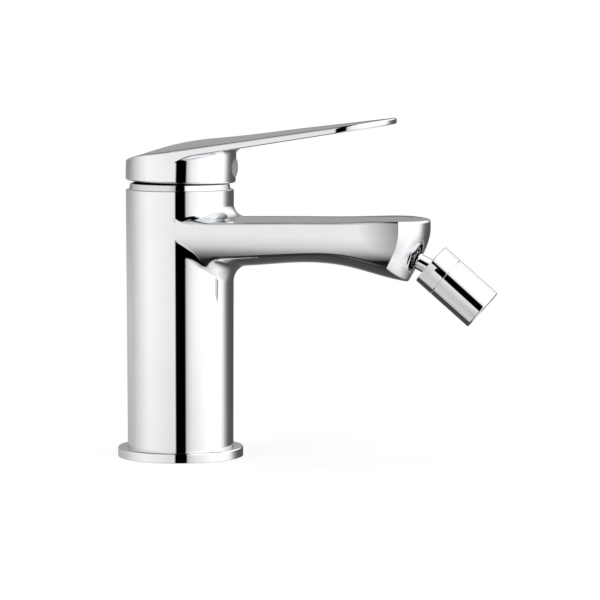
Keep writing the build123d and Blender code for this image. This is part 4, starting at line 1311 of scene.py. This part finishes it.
    def floor(self) -> None:
        """Pale floor that runs out of sight, white to the eye, with a faint shadow round the foot."""
        deselect_all()
        bpy.ops.mesh.primitive_circle_add(vertices=96, radius=self.floor_radius, fill_type="NGON",
                                          location=(0, 0, -self.floor_drop))
        floor = bpy.context.object
        floor.name = "floor"
        made = bare_material("matt_white_paper")
        tree = made.node_tree
        place = add_node(tree, "ShaderNodeTexCoord")
        far = add_node(tree, "ShaderNodeVectorMath", {"operation": "LENGTH"},
                       {"Vector": place.outputs["Object"]})
        fade = add_node(tree, "ShaderNodeMapRange",
                        {"interpolation_type": "SMOOTHSTEP", "From Min": self.shadow_start,
                         "From Max": self.shadow_end}, {"Value": far.outputs["Value"]})
        path = add_node(tree, "ShaderNodeLightPath")
        paper = add_node(tree, "ShaderNodeBsdfDiffuse", {"Color": linear("f4f4f4")})
        lit = add_node(tree, "ShaderNodeBsdfDiffuse", {"Color": linear("8c8c8c")})
        glow = add_node(tree, "ShaderNodeEmission",
                        {"Color": linear("ffffff"), "Strength": self.floor_glow})
        white = add_node(tree, "ShaderNodeEmission", {"Color": linear("ffffff"), "Strength": 1.0})
        near = add_node(tree, "ShaderNodeAddShader",
                        links={0: lit.outputs["BSDF"], 1: glow.outputs["Emission"]})
        seen = add_node(tree, "ShaderNodeMixShader", links={0: fade.outputs["Result"],
                                                            1: near.outputs["Shader"],
                                                            2: white.outputs["Emission"]})
        whole = add_node(tree, "ShaderNodeMixShader", links={0: path.outputs["Is Camera Ray"],
                                                             1: paper.outputs["BSDF"],
                                                             2: seen.outputs["Shader"]})
        add_node(tree, "ShaderNodeOutputMaterial", links={"Surface": whole.outputs["Shader"]})
        floor.data.materials.append(made)
        floor.visible_glossy = False

    def tent(self) -> None:
        """Cloth tent round the set, close in front and far behind, seen by polished metal only."""
        deselect_all()
        bpy.ops.mesh.primitive_uv_sphere_add(segments=96, ring_count=48, radius=self.tent_radius,
                                             location=(0, 0, self.tent_height))
        tent = bpy.context.object
        tent.name = "light_tent"
        turn = math.radians(self.azimuth)
        away = Vector((-math.sin(turn), math.cos(turn), 0)) * (self.tent_radius - self.tent_front)
        tent.data.transform(Matrix.Translation(away))
        tent.data.materials.append(self.tent_cloth())
        tent.visible_camera = False
        tent.visible_diffuse = False
        tent.visible_shadow = False
        tent.visible_volume_scatter = False

    def tent_cloth(self) -> bpy.types.Material:
        """Lit cloth whose panels change round the tent and up its wall, by the table above."""
        made = bare_material("lit_tent_cloth")
        tree = made.node_tree
        place = add_node(tree, "ShaderNodeTexCoord")
        turn = add_node(tree, "ShaderNodeMapping",
                        {"vector_type": "POINT", "Rotation": (0.0, 0.0, math.radians(90 - self.azimuth))},
                        {"Vector": place.outputs["Object"]})
        split = add_node(tree, "ShaderNodeSeparateXYZ", links={"Vector": turn.outputs["Vector"]})
        around = add_node(tree, "ShaderNodeMath", {"operation": "ARCTAN2"},
                          {0: split.outputs["Y"], 1: split.outputs["X"]})
        share = add_node(tree, "ShaderNodeMapRange", {"From Min": -math.pi, "From Max": math.pi},
                         {"Value": around.outputs["Value"]})
        ray = add_node(tree, "ShaderNodeVectorMath", {"operation": "NORMALIZE"},
                       {"Vector": place.outputs["Object"]})
        up = add_node(tree, "ShaderNodeSeparateXYZ", links={"Vector": ray.outputs["Vector"]})
        height = add_node(tree, "ShaderNodeMath", {"operation": "ARCSINE"}, {"Value": up.outputs["Z"]})
        shown = None
        for index, (level, stops) in enumerate(self.PANELS):
            band = add_node(tree, "ShaderNodeValToRGB", links={"Fac": share.outputs["Result"]})
            elements = band.color_ramp.elements
            while len(elements) < len(stops):
                elements.new(0.5)
            for element, (angle, light) in zip(elements, stops):
                element.position = (angle + 180) / 360
                element.color = (light, light, light, 1.0)
            if index == 0:
                shown = band.outputs["Color"]
                continue
            below = self.PANELS[index - 1][0]
            rise = add_node(tree, "ShaderNodeMapRange",
                            {"From Min": math.radians(below), "From Max": math.radians(level)},
                            {"Value": height.outputs["Value"]})
            blend = add_node(tree, "ShaderNodeMix", {"data_type": "RGBA"},
                             {0: rise.outputs["Result"], 6: shown, 7: band.outputs["Color"]})
            shown = blend.outputs[2]
        glow = add_node(tree, "ShaderNodeEmission", {"Strength": self.tent_light}, {"Color": shown})
        add_node(tree, "ShaderNodeOutputMaterial", links={"Surface": glow.outputs["Emission"]})
        return made

    def lamps(self) -> None:
        """Two soft lamps and one overhead, which light what is not a mirror."""
        plans = (("key_lamp", (-0.9, -1.1, 1.3), 1.2, 9.0), ("fill_lamp", (1.3, -0.8, 1.0), 1.0, 6.0),
                 ("top_lamp", (0.05, 0.1, 1.7), 1.4, 9.0))
        for name, place, size, power in plans:
            data = bpy.data.lights.new(name, "AREA")
            data.shape, data.size, data.energy = "DISK", size, power
            lamp = bpy.data.objects.new(name, data)
            lamp.location = place
            lamp.rotation_mode = "QUATERNION"
            aim = Vector(self.lamp_target) - Vector(place)
            lamp.rotation_quaternion = aim.to_track_quat("-Z", "Y")
            lamp.visible_glossy = False
            bpy.context.scene.collection.objects.link(lamp)

    def build(self) -> None:
        """Set up everything that is not the object."""
        self.camera()
        self.world()
        self.floor()
        self.tent()
        self.lamps()
        bpy.context.scene.view_settings.view_transform = "Standard"


# The whole mixer

def main() -> None:
    """Build the mixer's pieces in order."""
    deselect_all()
    Studio().build()
    dress_frame_nodes()
    settle(BodyAndSpout().build(), "fixed", Slot.CHROME, ("body_tube", "spout_arm"))
    turned = FootAndRing()
    settle(turned.flange(), "fixed", Slot.CHROME, ("base_flange",))
    settle(turned.cover(), "fixed", Slot.CHROME, ("cover_ring",))
    lever = Lever()
    handle = lever.build()
    settle(handle, "lever", Slot.CHROME, ("lever_handle",))
    # The hub's hollow gets the near-black bare finish, which is painted shade
    dull_and_shade_inside(handle, lever.tilted(), lever.inner_radius + INSIDE_MARGIN,
                lever.ceiling + INSIDE_MARGIN)
    settle(lever.plug(), "lever", Slot.PLUG, ("index_plug",))
    joint = NozzleJoint()
    settle(joint.neck(), "fixed", Slot.CHROME, ("ball_neck",))
    shell = joint.housing()
    settle(shell, "nozzle", Slot.CHROME, ("ball_housing",))
    # The housing's cavity gets the same near-black finish, which is painted shade
    dull_and_shade_inside(shell, joint.nozzle_axis(), joint.sphere_radius + INSIDE_MARGIN, joint.nozzle_front)
    settle(joint.sleeve(), "nozzle", Slot.CHROME, ("nozzle_sleeve",))
    deselect_all()


if __name__ == "__main__":
    main()
